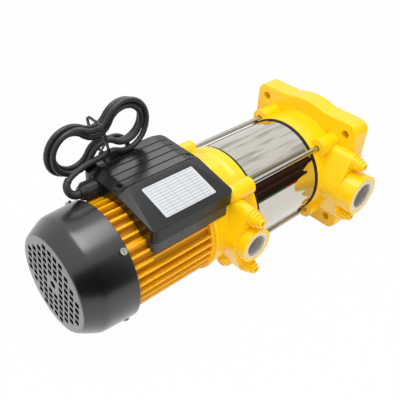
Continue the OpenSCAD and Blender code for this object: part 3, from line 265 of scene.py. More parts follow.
def make_plug():
    """A moulded round plug: ribbed relief, neck, grip with a rim round its face."""
    outline = [(-1, 0), (-1, 3.9), (1, 4.4)]
    for i in range(5):
        x = 2 + i*5
        r = 4.4 + 2.4*i/4
        outline += [(x, r + 0.6), (x + 2.6, r + 0.9), (x + 3.1, r - 0.3), (x + 4.6, r - 0.2)]
    neck = PLUG_RELIEF + PLUG_NECK
    outline += [(PLUG_RELIEF, 7.4), (PLUG_RELIEF + 5, 9), (PLUG_RELIEF + 10, 12.4),
                (neck - 1, 15.4), (neck + 1.5, 16.9), (neck + 4, PLUG_R), (neck + 12, 17.3),
                (neck + 16, PLUG_R), (neck + 18.6, 17.2), (neck + PLUG_HEAD, 16),
                (neck + PLUG_HEAD, 0)]
    form = turned(outline, 48)
    end = LEAD[-1]
    ahead = (LEAD[-1] - LEAD[-2]).normalized()
    turn = Vector((1, 0, 0)).rotation_difference(ahead).to_matrix().to_4x4()
    bmesh.ops.transform(form, matrix=Matrix.Translation(end) @ turn, verts=form.verts)
    return mesh_piece("plug_body", form)


plug = make_plug()
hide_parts("plug")

# Wire tie twisted round the hank's waist
TIE_WIRE_R = 0.9
TIE_ROOM = 1.4
TIE_ENDS_Y = (-HANK_STEP - CORD_D/2 - TIE_ROOM, 2*HANK_STEP + CORD_D/2 + TIE_ROOM)
TIE_STEPS = 48
TAIL_STEPS = 30


def make_tie():
    """Two turns of coated wire round the waist and a twisted pair of tails."""
    waist = math.sqrt((HANK_FOLD_R + HANK_STEP*HANK_MIDDLE + HANK_WAIST_R)**2
                      - HANK_REACH**2) - HANK_WAIST_R
    half_z = waist + CORD_D/2 + TIE_ROOM
    lines = []
    y1, y2 = TIE_ENDS_Y
    mid_y = (y1 + y2)/2
    half_y = (y2 - y1)/2
    turn = Matrix.Rotation(-HANK_LEAN, 3, "Y")
    for shift in (-1.0, 1.0):
        loop = []
        for i in range(TIE_STEPS + 1):
            a = 2*math.pi*i/TIE_STEPS
            c, s = math.cos(a), math.sin(a)
            reach = 1/((abs(c)**6 + abs(s)**6)**(1/6))
            spot = Vector((shift, mid_y + half_y*c*reach, half_z*s*reach))
            loop.append(((HANK_PLACE + turn @ spot)*MM, 1))
        lines.append(loop)
    for phase in (0, math.pi):
        tail = []
        for i in range(TAIL_STEPS + 1):
            u = i/TAIL_STEPS
            a = phase + u*5*math.pi
            spread = 1.0 - 0.1*u
            spot = Vector((-1 - 15*u + spread*math.cos(a),
                           y1 - 1.5 - 5*math.sin(u*1.6) + spread*math.sin(a), 2 - 6*u*u))
            tail.append(((HANK_PLACE + turn @ spot)*MM, 1))
        lines.append(tail)
    return tube_piece("wire_tie", lines, TIE_WIRE_R*MM, rings=2)


tie = make_tie()
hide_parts("cord_tie")

# Floor, world and lamps
FLOOR_AT = place(-15, 0, -99.5)
FLOOR_PITCH = 0.0557
FLOOR_ROLL = 0.0805
FLOOR_SIZE = 9.0


def add(tree, kind, settings=None, inputs=None):
    """A new shader node; an input is a value or the socket that feeds it."""
    made = tree.nodes.new(kind)
    for key, value in (settings or {}).items():
        setattr(made, key, value)
    for key, value in (inputs or {}).items():
        if isinstance(value, bpy.types.NodeSocket):
            tree.links.new(value, made.inputs[key])
        else:
            made.inputs[key].default_value = value
    return made


def ramp_colour(tree, value, stops, interpolation="LINEAR"):
    """A colour that follows a value through (share, colour) stops."""
    ramp = add(tree, "ShaderNodeValToRGB", None, {"Fac": value})
    ramp.color_ramp.interpolation = interpolation
    steps = ramp.color_ramp.elements
    while len(steps) < len(stops):
        steps.new(1.0)
    for step, (share, colour) in zip(steps, stops):
        step.position = share
        step.color = rgba(colour)
    return ramp.outputs[0]


def maths(tree, operation, first, second=0.0, clamp=False):
    """The output of one sum."""
    made = add(tree, "ShaderNodeMath", {"operation": operation, "use_clamp": clamp},
               {0: first, 1: second})
    return made.outputs[0]


def mix_colour(tree, share, first, second, blend_type="MIX"):
    """The mix of two colours."""
    made = add(tree, "ShaderNodeMix", {"data_type": "RGBA", "blend_type": blend_type},
               {0: share, 6: first, 7: second})
    return made.outputs[2]


def rgba(colour):
    """A colour of three numbers with full alpha."""
    return (*colour, 1.0)


def seen_rays(tree):
    """1 for rays that see the background straight, in a reflection or through glass."""
    path = add(tree, "ShaderNodeLightPath").outputs
    most = maths(tree, "MAXIMUM", path["Is Camera Ray"], path["Is Glossy Ray"])
    return maths(tree, "MAXIMUM", most, path["Is Transmission Ray"])


def make_world(level):
    """White where it is seen, plain soft light elsewhere."""
    world = bpy.data.worlds.new("studio")
    scene.world = world
    world.use_nodes = True
    tree = world.node_tree
    tree.nodes.clear()
    light = add(tree, "ShaderNodeBackground", None, {"Color": (0.97, 0.98, 1, 1), "Strength": level})
    shown = add(tree, "ShaderNodeBackground", None, {"Color": (1, 1, 1, 1), "Strength": 1.0})
    mixed = add(tree, "ShaderNodeMixShader", None,
                {0: seen_rays(tree), 1: light.outputs[0], 2: shown.outputs[0]})
    add(tree, "ShaderNodeOutputWorld", None, {"Surface": mixed.outputs[0]})


def make_floor(shown_share):
    """A pale floor, tilted as the machine rests on it: on its flange's corner and its fan cover."""
    form = bmesh.new()
    bmesh.ops.create_grid(form, x_segments=1, y_segments=1, size=FLOOR_SIZE/2)
    for v in form.verts:
        v.co.z = -v.co.x*FLOOR_PITCH - v.co.y*FLOOR_ROLL
    bmesh.ops.translate(form, vec=FLOOR_AT, verts=form.verts)
    data = bpy.data.meshes.new("floor")
    form.to_mesh(data)
    form.free()
    floor = bpy.data.objects.new("floor", data)
    scene.collection.objects.link(floor)
    mat = bpy.data.materials.new("pale_floor")
    mat.use_nodes = True
    tree = mat.node_tree
    tree.nodes.clear()
    spots = add(tree, "ShaderNodeTexNoise", None, {"Scale": 3.0, "Detail": 2.0})
    tone = add(tree, "ShaderNodeMapRange", None,
               {"Value": spots.outputs[0], "To Min": 0.86, "To Max": 0.9})
    lit = add(tree, "ShaderNodeBsdfDiffuse", None, {"Color": tone.outputs[0]})
    white = add(tree, "ShaderNodeEmission", None, {"Color": (1, 1, 1, 1), "Strength": 1.0})
    share = maths(tree, "MULTIPLY", seen_rays(tree), shown_share)
    mixed = add(tree, "ShaderNodeMixShader", None,
                {0: share, 1: lit.outputs[0], 2: white.outputs[0]})
    add(tree, "ShaderNodeOutputMaterial", None, {"Surface": mixed.outputs[0]})
    data.materials.append(mat)


def stage_sheet(name, form):
    """A sheet of the studio that only reflections see."""
    data = bpy.data.meshes.new(name)
    form.to_mesh(data)
    form.free()
    card = bpy.data.objects.new(name, data)
    scene.collection.objects.link(card)
    for kind in ("camera", "diffuse", "shadow", "transmission", "volume_scatter"):
        setattr(card, "visible_" + kind, False)
    return card


def glow_material(card, name):
    """An empty material on a sheet of the studio."""
    mat = bpy.data.materials.new(name)
    mat.use_nodes = True
    mat.node_tree.nodes.clear()
    card.data.materials.append(mat)
    return mat.node_tree


def make_card(name, low, high, stripes, foot=()):
    """A dark side of the room, at one Y, with stripes from its foot up and colours along its foot."""
    form = bmesh.new()
    bmesh.ops.create_grid(form, x_segments=1, y_segments=1, size=0.5)
    low, high = Vector(low), Vector(high)
    for v in form.verts:
        across, rise = v.co.x + 0.5, v.co.y + 0.5
        v.co = (low.x + across*(high.x - low.x), low.y, low.z + rise*(high.z - low.z))
    tree = glow_material(stage_sheet(name, form), name)
    at = add(tree, "ShaderNodeSeparateXYZ", None,
             {0: add(tree, "ShaderNodeTexCoord").outputs["Object"]}).outputs
    rise = add(tree, "ShaderNodeMapRange", None,
               {"Value": at["Z"], "From Min": low.z, "From Max": high.z})
    colour = ramp_colour(tree, rise.outputs[0], stripes)
    if foot:
        across = add(tree, "ShaderNodeMapRange", None,
                     {"Value": at["X"], "From Min": low.x, "From Max": high.x})
        share = maths(tree, "LESS_THAN", rise.outputs[0], 0.04)
        colour = mix_colour(tree, share, colour, ramp_colour(tree, across.outputs[0], foot, "CONSTANT"))
    glow = add(tree, "ShaderNodeEmission", None, {"Color": colour, "Strength": 1.0})
    add(tree, "ShaderNodeOutputMaterial", None, {"Surface": glow.outputs[0]})


def make_window(low, high, level):
    """A small bright sheet over the far side, which the lid's top reflects."""
    form = bmesh.new()
    corners = [form.verts.new((x, y, low[2])) for x, y in
               ((low[0], low[1]), (high[0], low[1]), (high[0], high[1]), (low[0], high[1]))]
    form.faces.new(corners)
    tree = glow_material(stage_sheet("far_window", form), "far_window")
    glow = add(tree, "ShaderNodeEmission", None, {"Color": (1, 1, 1, 1), "Strength": level})
    add(tree, "ShaderNodeOutputMaterial", None, {"Surface": glow.outputs[0]})


def make_lamp(name, at, aim, size, watts, seen=True):
    """A square soft lamp that shines from one point towards another."""
    data = bpy.data.lights.new(name, "AREA")
    data.shape = "SQUARE"
    data.size = size
    data.energy = watts
    lamp = bpy.data.objects.new(name, data)
    lamp.visible_glossy = seen
    at, aim = Vector(at), Vector(aim)
    lamp.matrix_world = Matrix.Translation(at) @ (aim - at).to_track_quat("-Z", "Y").to_matrix().to_4x4()
    scene.collection.objects.link(lamp)


make_world(0.72)
make_floor(0.98)
ROOM_STRIPES = (
    (0.0, (0.02, 0.012, 0.01)), (0.19, (0.035, 0.018, 0.012)), (0.21, (0.1, 0.05, 0.03)),
    (0.23, (0.03, 0.015, 0.01)), (0.34, (0.035, 0.018, 0.012)), (0.365, (0.09, 0.045, 0.025)),
    (0.39, (0.03, 0.016, 0.012)), (0.53, (0.05, 0.03, 0.022)), (0.555, (0.14, 0.09, 0.06)),
    (0.59, (0.09, 0.06, 0.045)), (0.68, (0.14, 0.11, 0.08)), (0.78, (0.42, 0.38, 0.28)),
    (1.0, (0.97, 0.97, 0.95)))
CORNER_STRIPES = ((0.0, (0.02, 0.02, 0.02)), (0.9, (0.04, 0.04, 0.04)), (1.0, (0.4, 0.4, 0.4)))
FOOT_COLOURS = ((0.0, (0.05, 0.14, 0.05)), (0.3, (0.4, 0.03, 0.025)), (0.42, (0.03, 0.02, 0.015)))
make_card("room_side", (-0.12, -0.246, 0.0), (0.36, -0.246, 0.4), ROOM_STRIPES, FOOT_COLOURS)
make_card("room_corner", (-0.8, -0.246, -0.02), (-0.33, -0.246, 0.26), CORNER_STRIPES)
make_window((-0.27, 0.06, 0.268), (-0.05, 0.29, 0.268), 3.4)
MACHINE_MIDDLE = (-0.22, 0, 0)
make_lamp("key_light", (-0.37, 0.02, 1.35), MACHINE_MIDDLE, 0.9, 12.0)
make_lamp("side_light", (-1.1, -1.2, 0.9), MACHINE_MIDDLE, 1.0, 5.5, seen=False)

# Surface effects that several materials share


def new_group(name, inputs, outputs):
    """An empty node group with the given sockets, and its two ends."""
    tree = bpy.data.node_groups.new(name, "ShaderNodeTree")
    for label, kind, value in inputs:
        socket = tree.interface.new_socket(name=label, in_out="INPUT", socket_type=kind)
        if value is not None:
            socket.default_value = value
    for label, kind in outputs:
        tree.interface.new_socket(name=label, in_out="OUTPUT", socket_type=kind)
    return tree, tree.nodes.new("NodeGroupInput").outputs, tree.nodes.new("NodeGroupOutput")


FLOAT, COLOUR, VECTOR = "NodeSocketFloat", "NodeSocketColor", "NodeSocketVector"


def skin_group():
    """Mottled colour, uneven gloss and a fine grain, in Object coordinates."""
    tree, given, made = new_group(
        "worn_skin",
        [("Color", COLOUR, None), ("Shade", COLOUR, None), ("Mottle", FLOAT, 0.3),
         ("Patch scale", FLOAT, 12.0), ("Grain scale", FLOAT, 900.0), ("Grain height", FLOAT, 0.00005),
         ("Low gloss", FLOAT, 0.4), ("High gloss", FLOAT, 0.3), ("Stretch", VECTOR, (1, 1, 1)),
         ("Corner", VECTOR, None)],
        [("Color", COLOUR), ("Roughness", FLOAT), ("Normal", VECTOR)])
    spot = add(tree, "ShaderNodeTexCoord").outputs["Object"]
    drawn = add(tree, "ShaderNodeVectorMath", {"operation": "MULTIPLY"}, {0: spot, 1: given["Stretch"]})
    patches = add(tree, "ShaderNodeTexNoise", None,
                  {"Vector": drawn.outputs[0], "Scale": given["Patch scale"], "Detail": 4.0,
                   "Roughness": 0.6})
    spread = add(tree, "ShaderNodeMapRange", None,
                 {"Value": patches.outputs[0], "From Min": 0.3, "From Max": 0.7})
    share = maths(tree, "MULTIPLY", spread.outputs[0], given["Mottle"])
    colour = mix_colour(tree, share, given["Color"], given["Shade"])
    gloss = add(tree, "ShaderNodeMapRange", None,
                {"Value": patches.outputs[0], "From Min": 0.3, "From Max": 0.7,
                 "To Min": given["Low gloss"], "To Max": given["High gloss"]})
    grain = add(tree, "ShaderNodeTexNoise", None,
                {"Vector": drawn.outputs[0], "Scale": given["Grain scale"], "Detail": 2.0})
    bump = add(tree, "ShaderNodeBump", None,
               {"Strength": 1.0, "Distance": given["Grain height"], "Height": grain.outputs[0],
                "Normal": given["Corner"]})
    tree.links.new(colour, made.inputs["Color"])
    tree.links.new(gloss.outputs[0], made.inputs["Roughness"])
    tree.links.new(bump.outputs[0], made.inputs["Normal"])
    return tree


def mouth_group():
    """1 on the machined ring round a port's mouth and inside its thread."""
    tree, given, made = new_group(
        "machined_mouth",
        [("Port X", FLOAT, 0.0), ("Mouth Y", FLOAT, 0.0), ("Bore", FLOAT, 0.02), ("Ring", FLOAT, 0.02)],
        [("Mask", FLOAT)])
    at = add(tree, "ShaderNodeSeparateXYZ", None,
             {0: add(tree, "ShaderNodeTexCoord").outputs["Object"]}).outputs
    off_x = maths(tree, "SUBTRACT", at["X"], given["Port X"])
    off = maths(tree, "SQRT", maths(tree, "ADD", maths(tree, "MULTIPLY", off_x, off_x),
                                    maths(tree, "MULTIPLY", at["Z"], at["Z"])))
    chatter = add(tree, "ShaderNodeTexNoise", None, {"Scale": 300.0, "Detail": 2.0})
    uneven = maths(tree, "MULTIPLY", maths(tree, "SUBTRACT", chatter.outputs[0], 0.5), 0.0012)
    in_ring = maths(tree, "LESS_THAN", maths(tree, "ADD", off, uneven), given["Ring"])
    edge = maths(tree, "ADD", given["Mouth Y"], 0.0003)
    on_face = maths(tree, "LESS_THAN", at["Y"], edge)
    in_bore = maths(tree, "LESS_THAN", off, maths(tree, "ADD", given["Bore"], 0.0002))
    low = maths(tree, "LESS_THAN", at["Y"], -0.03)
    mask = maths(tree, "MAXIMUM", maths(tree, "MULTIPLY", in_ring, on_face),
                 maths(tree, "MULTIPLY", in_bore, low))
    tree.links.new(mask, made.inputs["Mask"])
    return tree


SKIN = skin_group()
MOUTH = mouth_group()


class Finish:
    """One material with its skin group in place."""

    def __init__(self, name, colour, shade, gloss=(0.4, 0.3), mottle=0.3, patch=12.0, grain=(900.0, 0.05),
                 stretch=(1, 1, 1), corner=0.0, **plain):
        self.mat = bpy.data.materials.new(name)
        self.mat.use_nodes = True
        self.tree = self.mat.node_tree
        self.shader = self.tree.nodes["Principled BSDF"]
        values = {"Color": rgba(colour), "Shade": rgba(shade), "Mottle": mottle, "Patch scale": patch,
                  "Grain scale": grain[0], "Grain height": grain[1]*MM, "Low gloss": gloss[0],
                  "High gloss": gloss[1], "Stretch": stretch}
        if corner:
            round_off = add(self.tree, "ShaderNodeBevel", {"samples": 4}, {"Radius": corner*MM})
            values["Corner"] = round_off.outputs[0]
        self.skin = add(self.tree, "ShaderNodeGroup", {"node_tree": SKIN}, values)
        if not corner:
            facing = add(self.tree, "ShaderNodeNewGeometry")
            self.tree.links.new(facing.outputs["Normal"], self.skin.inputs["Corner"])
        self.colour = self.skin.outputs["Color"]
        self.rough = self.skin.outputs["Roughness"]
        self.tree.links.new(self.colour, self.shader.inputs["Base Color"])
        self.tree.links.new(self.rough, self.shader.inputs["Roughness"])
        self.tree.links.new(self.skin.outputs["Normal"], self.shader.inputs["Normal"])
        for key, value in plain.items():
            self.shader.inputs[key.replace("_", " ")].default_value = value

    def cover(self, mask, colour, rough, metal=0.0):
        """Lays another plain colour over the skin where the mask is 1."""
        self.colour = mix_colour(self.tree, mask, self.colour, rgba(colour))
        self.tree.links.new(self.colour, self.shader.inputs["Base Color"])
        gap = maths(self.tree, "SUBTRACT", rough, self.rough)
        self.rough = maths(self.tree, "ADD", self.rough, maths(self.tree, "MULTIPLY", mask, gap))
        self.tree.links.new(self.rough, self.shader.inputs["Roughness"])
        if metal:
            shine = maths(self.tree, "MULTIPLY", mask, metal)
            self.tree.links.new(shine, self.shader.inputs["Metallic"])


def casting_paint(name, corner=1.6, port=None):
    """Glossy yellow enamel on a casting, bare metal at its port."""
    finish = Finish(name, (1.0, 0.62, 0.003), (0.93, 0.52, 0.002), gloss=(0.3, 0.2), mottle=0.5,
                    patch=9.0, grain=(420.0, 0.035), corner=corner, Coat_Weight=0.2,
                    Coat_Roughness=0.12, Specular_IOR_Level=0.35)
    if port:
        x, mouth, bore, ring = (v*MM for v in port)
        mask = add(finish.tree, "ShaderNodeGroup", {"node_tree": MOUTH},
                   {"Port X": x, "Mouth Y": mouth, "Bore": bore, "Ring": ring})
        finish.cover(mask.outputs[0], (0.68, 0.65, 0.56), 0.42, metal=0.2)
    return finish.mat


def dress(finish, *names):
    """Gives a material to CAD nodes."""
    for name in names:
        data = nodes[name].data
        data.materials.clear()
        data.materials.append(finish)


# A port: its X, the Y of its mouth, its bore radius
SUCTION_PORT = (-36, -129, 19.5)
DISCHARGE_PORT = (-236, -104.5, 15.1)
SUCTION_RING_R = 25
DISCHARGE_RING_R = 18.8
dress(casting_paint("suction_enamel", port=(*SUCTION_PORT, SUCTION_RING_R)), "suction_casing")
dress(casting_paint("discharge_enamel", port=(*DISCHARGE_PORT, DISCHARGE_RING_R)),
      "discharge_casing")
dress(casting_paint("small_part_enamel", corner=0.5), "filling_plugs", "drain_plugs")
# Painted shade: the frame's enamel is a deeper orange than the castings' yellow, partly the paint's own tone
# and partly painted shade.
shaded_frame_paint = Finish("frame_enamel_shaded", (0.98, 0.5, 0.003), (0.88, 0.4, 0.002), gloss=(0.38, 0.27),
                     mottle=0.6, patch=14.0, grain=(380.0, 0.05), corner=0.9, Coat_Weight=0.1,
                     Coat_Roughness=0.2, Specular_IOR_Level=0.35)
# Painted shade between the fins: the enamel darkens to a brown-orange towards the fins' roots, nearer the
# axis.
between_fins = add(shaded_frame_paint.tree, "ShaderNodeSeparateXYZ", None,
                   {0: add(shaded_frame_paint.tree, "ShaderNodeTexCoord").outputs["Object"]}).outputs
from_axis = maths(shaded_frame_paint.tree, "SQRT", maths(
    shaded_frame_paint.tree, "ADD", maths(shaded_frame_paint.tree, "MULTIPLY", between_fins["Y"], between_fins["Y"]),
    maths(shaded_frame_paint.tree, "MULTIPLY", between_fins["Z"], between_fins["Z"])))
fin_root_shade = add(shaded_frame_paint.tree, "ShaderNodeMapRange", None,
           {"Value": from_axis, "From Min": 0.0705, "From Max": 0.0635, "To Min": 0.0, "To Max": 0.6})
shaded_frame_paint.cover(fin_root_shade.outputs[0], (0.36, 0.12, 0.001), 0.5)
dress(shaded_frame_paint.mat, "motor_frame", "rear_end_shield")
mirror = Finish("mirror_sleeve", (0.64, 0.61, 0.54), (0.57, 0.54, 0.48), gloss=(0.04, 0.08), mottle=0.5,
                patch=10.0, grain=(60.0, 0.012), stretch=(0.25, 3, 3), Metallic=1.0)
# Painted reflection: darker streaks laid over the mirror steel only near the sleeve's top.
sleeve_spot = add(mirror.tree, "ShaderNodeTexCoord").outputs["Object"]
sleeve_height = add(mirror.tree, "ShaderNodeSeparateXYZ", None, {0: sleeve_spot}).outputs["Z"]
long_spot = add(mirror.tree, "ShaderNodeVectorMath", {"operation": "MULTIPLY"},
                {0: sleeve_spot, 1: (11, 150, 60)})
top_reflection_streaks = add(mirror.tree, "ShaderNodeTexNoise", None,
              {"Vector": long_spot.outputs[0], "Scale": 1.0, "Detail": 3.0, "Roughness": 0.6})
top_reflection_share = add(mirror.tree, "ShaderNodeMapRange", None,
                   {"Value": top_reflection_streaks.outputs[0], "From Min": 0.48, "From Max": 0.66})
near_top = add(mirror.tree, "ShaderNodeMapRange", None,
               {"Value": sleeve_height, "From Min": 0.054, "From Max": 0.062})
mirror.cover(maths(mirror.tree, "MULTIPLY", top_reflection_share.outputs[0],
                   maths(mirror.tree, "MULTIPLY", near_top.outputs[0], 0.85)), (0.3, 0.27, 0.23), 0.1)
dress(mirror.mat, "pump_sleeve")
drawn_steel = Finish("drawn_steel", (0.58, 0.56, 0.53), (0.42, 0.4, 0.38), gloss=(0.22, 0.34),
                     mottle=0.6, patch=60.0, grain=(700.0, 0.03), stretch=(0.05, 2, 2), corner=0.3,
                     Metallic=1.0)
dress(drawn_steel.mat, "tie_rods", "tie_rod_nuts", "tie_rod_washers", "shaft",
      "fan_cover_screws", "motor_tie_bolts", "seal_head")
dark_steel = Finish("blackened_steel", (0.05, 0.05, 0.05), (0.08, 0.08, 0.08), gloss=(0.3, 0.42), mottle=0.5,
                    patch=60.0, corner=0.2, Metallic=1.0)
dress(dark_steel.mat, "lid_screws")
pressed_steel = Finish("pressed_steel", (0.6, 0.6, 0.6), (0.5, 0.5, 0.5), gloss=(0.28, 0.4), mottle=0.5,
                       patch=30.0, grain=(500.0, 0.03), stretch=(3, 0.6, 0.6), Metallic=1.0)
dress(pressed_steel.mat, "inlet_plate", "stage_casings", "impeller_spacers")
ground_steel = Finish("ground_steel", (0.72, 0.72, 0.73), (0.62, 0.62, 0.63), gloss=(0.14, 0.22),
                      mottle=0.4, patch=40.0, grain=(900.0, 0.01), Metallic=1.0)
dress(ground_steel.mat, "front_bearing", "rear_bearing", "bearing_inner_rings", "fan_clip")
brass = Finish("cast_brass", (0.68, 0.47, 0.2), (0.52, 0.34, 0.13), gloss=(0.3, 0.42), mottle=0.6,
               patch=40.0, grain=(600.0, 0.04), corner=0.4, Metallic=1.0)
dress(brass.mat, "impellers", "impeller_nut", "plug_pins")
core_iron = Finish("core_iron", (0.2, 0.2, 0.21), (0.12, 0.11, 0.11), gloss=(0.45, 0.6), mottle=0.7,
                   patch=20.0, grain=(900.0, 0.06), stretch=(12, 0.5, 0.5), Metallic=0.7)
dress(core_iron.mat, "stator_core", "rotor_core")
winding = Finish("wound_copper", (0.6, 0.22, 0.08), (0.4, 0.12, 0.04), gloss=(0.25, 0.4), mottle=0.7,
                 patch=80.0, grain=(900.0, 0.2), stretch=(0.3, 3, 3), Metallic=0.8)
dress(winding.mat, "stator_windings")
ceramic = Finish("seal_ceramic", (0.82, 0.8, 0.74), (0.76, 0.73, 0.66), gloss=(0.18, 0.25), mottle=0.4)
dress(ceramic.mat, "seal_seat")
rubber = Finish("black_rubber", (0.012, 0.012, 0.013), (0.02, 0.02, 0.021), gloss=(0.5, 0.62), mottle=0.6,
                patch=60.0, grain=(1200.0, 0.04), corner=0.4, Specular_IOR_Level=0.25)
dress(rubber.mat, "sleeve_gaskets", "water_slinger", "gland_seal")
black_paint = Finish("cover_enamel", (0.002, 0.0022, 0.0024), (0.004, 0.0042, 0.0046),
                     gloss=(0.24, 0.31), mottle=0.6, patch=10.0, grain=(520.0, 0.02), corner=0.6,
                     Specular_IOR_Level=0.65, Coat_Weight=0.5, Coat_Roughness=0.25, Coat_IOR=1.55)

# The grille in the fan cover's end
GRILLE_PITCH = 11
GRILLE_HOLE = 8
GRILLE_CORNER = 1.0
GRILLE_FIELD = 107
GRILLE_TURN = 8.6
GRILLE_MIDDLE_R = 5.3
CUTTER_AT = (-0.4702, 0, 0)
CUTTER_DEEP = 0.006


def make_fan_cover():
    """The pressed cover with its soft shoulder and the grille's square holes."""
    outline = [(-401, 75.6), (-401, 77.6), (-401.5, 78)]
    outline += [(-412, 77.5), (-424, 76.95), (-436, 76.35), (-440, 76.1), (-442.5, 75.85),
                (-444.5, 75.5), (-446.5, 74.85), (-448.5, 73.95), (-452, 72.1), (-458, 68.9),
                (-461.5, 66.9), (-463.8, 65.35), (-465.6, 64.3), (-467, 63.2), (-467.8, 62.2),
                (-468, 61.2), (-468, 0)]
    outline += [(-465.5, 0), (-465.5, 60.8), (-464.6, 61.6), (-462.5, 63.2), (-451, 69.6),
                (-447.5, 71.6), (-444, 73), (-441, 73.55), (-401, 75.6)]
    cover = mesh_piece("vented_cover", turned(outline, 128), smooth_angle=30)
    cutter_form = bmesh.new()
    for i in range(-5, 6):
        for j in range(-5, 6):
            across, up = i + 0.5, j + 0.5
            if not 1 < math.hypot(across, up) < GRILLE_FIELD/2/GRILLE_PITCH:
                continue
            hole = bmesh.ops.create_grid(cutter_form, x_segments=1, y_segments=1,
                                         size=GRILLE_HOLE/2*MM)["verts"]
            bmesh.ops.translate(cutter_form, verts=hole,
                                vec=place(across*GRILLE_PITCH, up*GRILLE_PITCH, 0))
    bmesh.ops.bevel(cutter_form, geom=cutter_form.verts, offset=GRILLE_CORNER*MM, affect="VERTICES",
                    segments=2, profile=0.5, material=-1)
    middle = bmesh.ops.create_circle(cutter_form, cap_ends=True, segments=24,
                                      radius=GRILLE_MIDDLE_R*MM)["verts"]
    faces = bmesh.ops.extrude_face_region(cutter_form, geom=cutter_form.faces[:])["geom"]
    moved = [v for v in faces if isinstance(v, bmesh.types.BMVert)]
    bmesh.ops.translate(cutter_form, verts=moved, vec=(0, 0, CUTTER_DEEP))
    turn = Matrix(((0, 0, 1), (1, 0, 0), (0, 1, 0))).to_4x4()
    spin_round = Matrix.Rotation(math.radians(GRILLE_TURN), 4, "X")
    bmesh.ops.transform(cutter_form, verts=cutter_form.verts,
                        matrix=Matrix.Translation(CUTTER_AT) @ spin_round @ turn)
    return carve(cover, cutter_form)


def carve(piece, cutter_form):
    """Cuts the closed bodies of a bmesh out of a piece."""
    bmesh.ops.recalc_face_normals(cutter_form, faces=cutter_form.faces)
    data = bpy.data.meshes.new("cutter")
    cutter_form.to_mesh(data)
    cutter_form.free()
    cutter = bpy.data.objects.new("cutter", data)
    scene.collection.objects.link(cutter)
    cut = piece.modifiers.new("cut", "BOOLEAN")
    cut.operation = "DIFFERENCE"
    cut.solver = "EXACT"
    cut.object = cutter
    bpy.context.view_layer.update()
    seen = piece.evaluated_get(bpy.context.evaluated_depsgraph_get())
    result = bpy.data.meshes.new_from_object(seen)
    piece.modifiers.clear()
    piece.data = result
    bpy.data.objects.remove(cutter)
    return piece


fan_cover = make_fan_cover()
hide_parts("fan_cover")
# Painted reflection: the black cover's end face is made a flat grey, standing in for the pale floor it
# reflects.
depth = add(black_paint.tree, "ShaderNodeSeparateXYZ", None,
            {0: add(black_paint.tree, "ShaderNodeTexCoord").outputs["Object"]}).outputs["X"]
black_paint.cover(maths(black_paint.tree, "LESS_THAN", depth, -0.4674), (0.16, 0.165, 0.165), 0.4)
fan_cover.data.materials.clear()
fan_cover.data.materials.append(black_paint.mat)
fan_plastic = Finish("fan_plastic", (0.02, 0.02, 0.021), (0.035, 0.035, 0.036), gloss=(0.5, 0.6),
                     mottle=0.5, patch=25.0, corner=0.5)
dress(fan_plastic.mat, "cooling_fan", "diffusers")
BOX_JOINT_Z = 0.055
box_plastic = Finish("box_plastic", (0.003, 0.0038, 0.004), (0.006, 0.007, 0.0075), gloss=(0.2, 0.28),
                     mottle=0.6, patch=14.0, grain=(1500.0, 0.02), corner=1.1,
                     Specular_IOR_Level=0.42)
dress(box_plastic.mat, "terminal_box_lid")
# Painted light and shade: the base is a lighter copy of the lid's black plastic, painted light on its lower
# side, and a near-black band just under the lid's joint is painted shade in the gap.
box_base_light_and_shade = Finish("box_foot_plastic", (0.035, 0.036, 0.033), (0.045, 0.046, 0.043), gloss=(0.22, 0.3),
                  mottle=0.6, patch=14.0, grain=(1500.0, 0.02), corner=1.1)
box_height = add(box_base_light_and_shade.tree, "ShaderNodeSeparateXYZ", None,
                 {0: add(box_base_light_and_shade.tree, "ShaderNodeTexCoord").outputs["Object"]}).outputs["Z"]
box_base_light_and_shade.cover(maths(box_base_light_and_shade.tree, "GREATER_THAN", box_height, BOX_JOINT_Z - 0.0022),
               (0.002, 0.002, 0.002), 0.7)
dress(box_base_light_and_shade.mat, "terminal_box_base")
gland_plastic = Finish("gland_plastic", (0.012, 0.012, 0.013), (0.022, 0.022, 0.023), gloss=(0.34, 0.45),
                       mottle=0.5, patch=40.0, grain=(1500.0, 0.02), corner=0.5)
dress(gland_plastic.mat, "gland_body", "gland_nut")
pale_plastic = Finish("pale_plastic", (0.78, 0.77, 0.72), (0.7, 0.69, 0.62), gloss=(0.35, 0.45),
                      mottle=0.5, patch=25.0, corner=0.4)
dress(pale_plastic.mat, "capacitor", "terminal_block")
cord_rubber = Finish("cord_rubber", (0.014, 0.014, 0.015), (0.026, 0.026, 0.027), gloss=(0.33, 0.45),
                     mottle=0.6, patch=50.0, grain=(1400.0, 0.03))
for piece in (power_cord, boot, plug, tie):
    piece.data.materials.append(cord_rubber.mat)


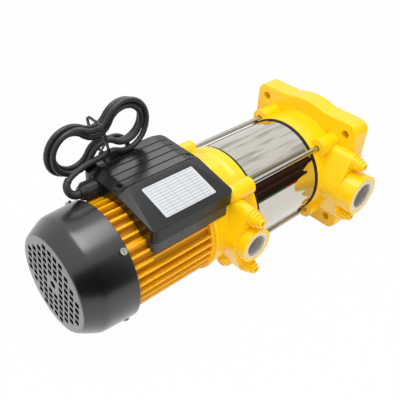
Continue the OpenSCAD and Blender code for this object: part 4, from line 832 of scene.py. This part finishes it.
def plate_print():
    """A bare white plate with the thin rules of an empty table."""
    finish = Finish("plate_white", (0.56, 0.57, 0.59), (0.5, 0.51, 0.53), gloss=(0.3, 0.4), mottle=0.4,
                    patch=30.0, grain=(1500.0, 0.01), corner=0.1)
    tree = finish.tree
    at = add(tree, "ShaderNodeSeparateXYZ", None,
             {0: add(tree, "ShaderNodeTexCoord").outputs["Object"]}).outputs
    along = add(tree, "ShaderNodeMapRange", None,
                {"Value": at["X"], "From Min": -0.349, "From Max": -0.271, "To Min": 0.0, "To Max": 1.0})
    down = add(tree, "ShaderNodeMapRange", None,
               {"Value": at["Y"], "From Min": -0.0135, "From Max": -0.0595})

    def line(value, spot, half):
        return maths(tree, "LESS_THAN", maths(tree, "ABSOLUTE", maths(tree, "SUBTRACT", value, spot)), half)

    rows = maths(tree, "FRACT", maths(tree, "MULTIPLY", down.outputs[0], 11.0))
    mask = line(rows, 0.5, 0.1)
    for share in (0.22, 0.4, 0.62, 0.8):
        mask = maths(tree, "MAXIMUM", mask, line(along.outputs[0], share, 0.003))
    for value in (along.outputs[0], down.outputs[0]):
        inside = line(value, 0.5, 0.46)
        mask = maths(tree, "MULTIPLY", mask, inside)
    finish.cover(maths(tree, "MULTIPLY", mask, 0.7), (0.13, 0.14, 0.16), 0.4)
    return finish.mat


dress(plate_print(), "rating_plate")

# Cut threads in the two ports
THREAD_TURN = 2.31
SUCTION_THREAD = 26
DISCHARGE_THREAD = 22


def port_thread(name, port_x, mouth_y, bore_r, length):
    """The helical ridge of a pipe thread inside a port."""
    form = bmesh.new()
    ridge = 1.0
    first = mouth_y + 2.0
    spots = [form.verts.new(place(port_x, first + dy, bore_r + 0.05 - dr))
             for dy, dr in ((-0.95, -0.2), (0.95, -0.2), (0.12, ridge), (-0.12, ridge))]
    face = form.faces.new(spots)
    turns = int(length/THREAD_TURN)
    steps = 48*turns
    bmesh.ops.spin(form, geom=[face, *face.edges, *face.verts], cent=place(port_x, 0, 0),
                   axis=(0, 1, 0), dvec=place(0, THREAD_TURN*turns/steps, 0),
                   angle=2*math.pi*turns, steps=steps, use_merge=False)
    return mesh_piece(name, form, smooth_angle=50)


threads = [port_thread("suction_thread", *SUCTION_PORT, SUCTION_THREAD),
           port_thread("discharge_thread", *DISCHARGE_PORT, DISCHARGE_THREAD)]
bare_iron = Finish("bare_iron", (0.54, 0.51, 0.46), (0.4, 0.37, 0.33), gloss=(0.35, 0.5), mottle=0.6,
                   patch=60.0, grain=(800.0, 0.04), Metallic=0.45)
for piece in threads:
    piece.data.materials.append(bare_iron.mat)
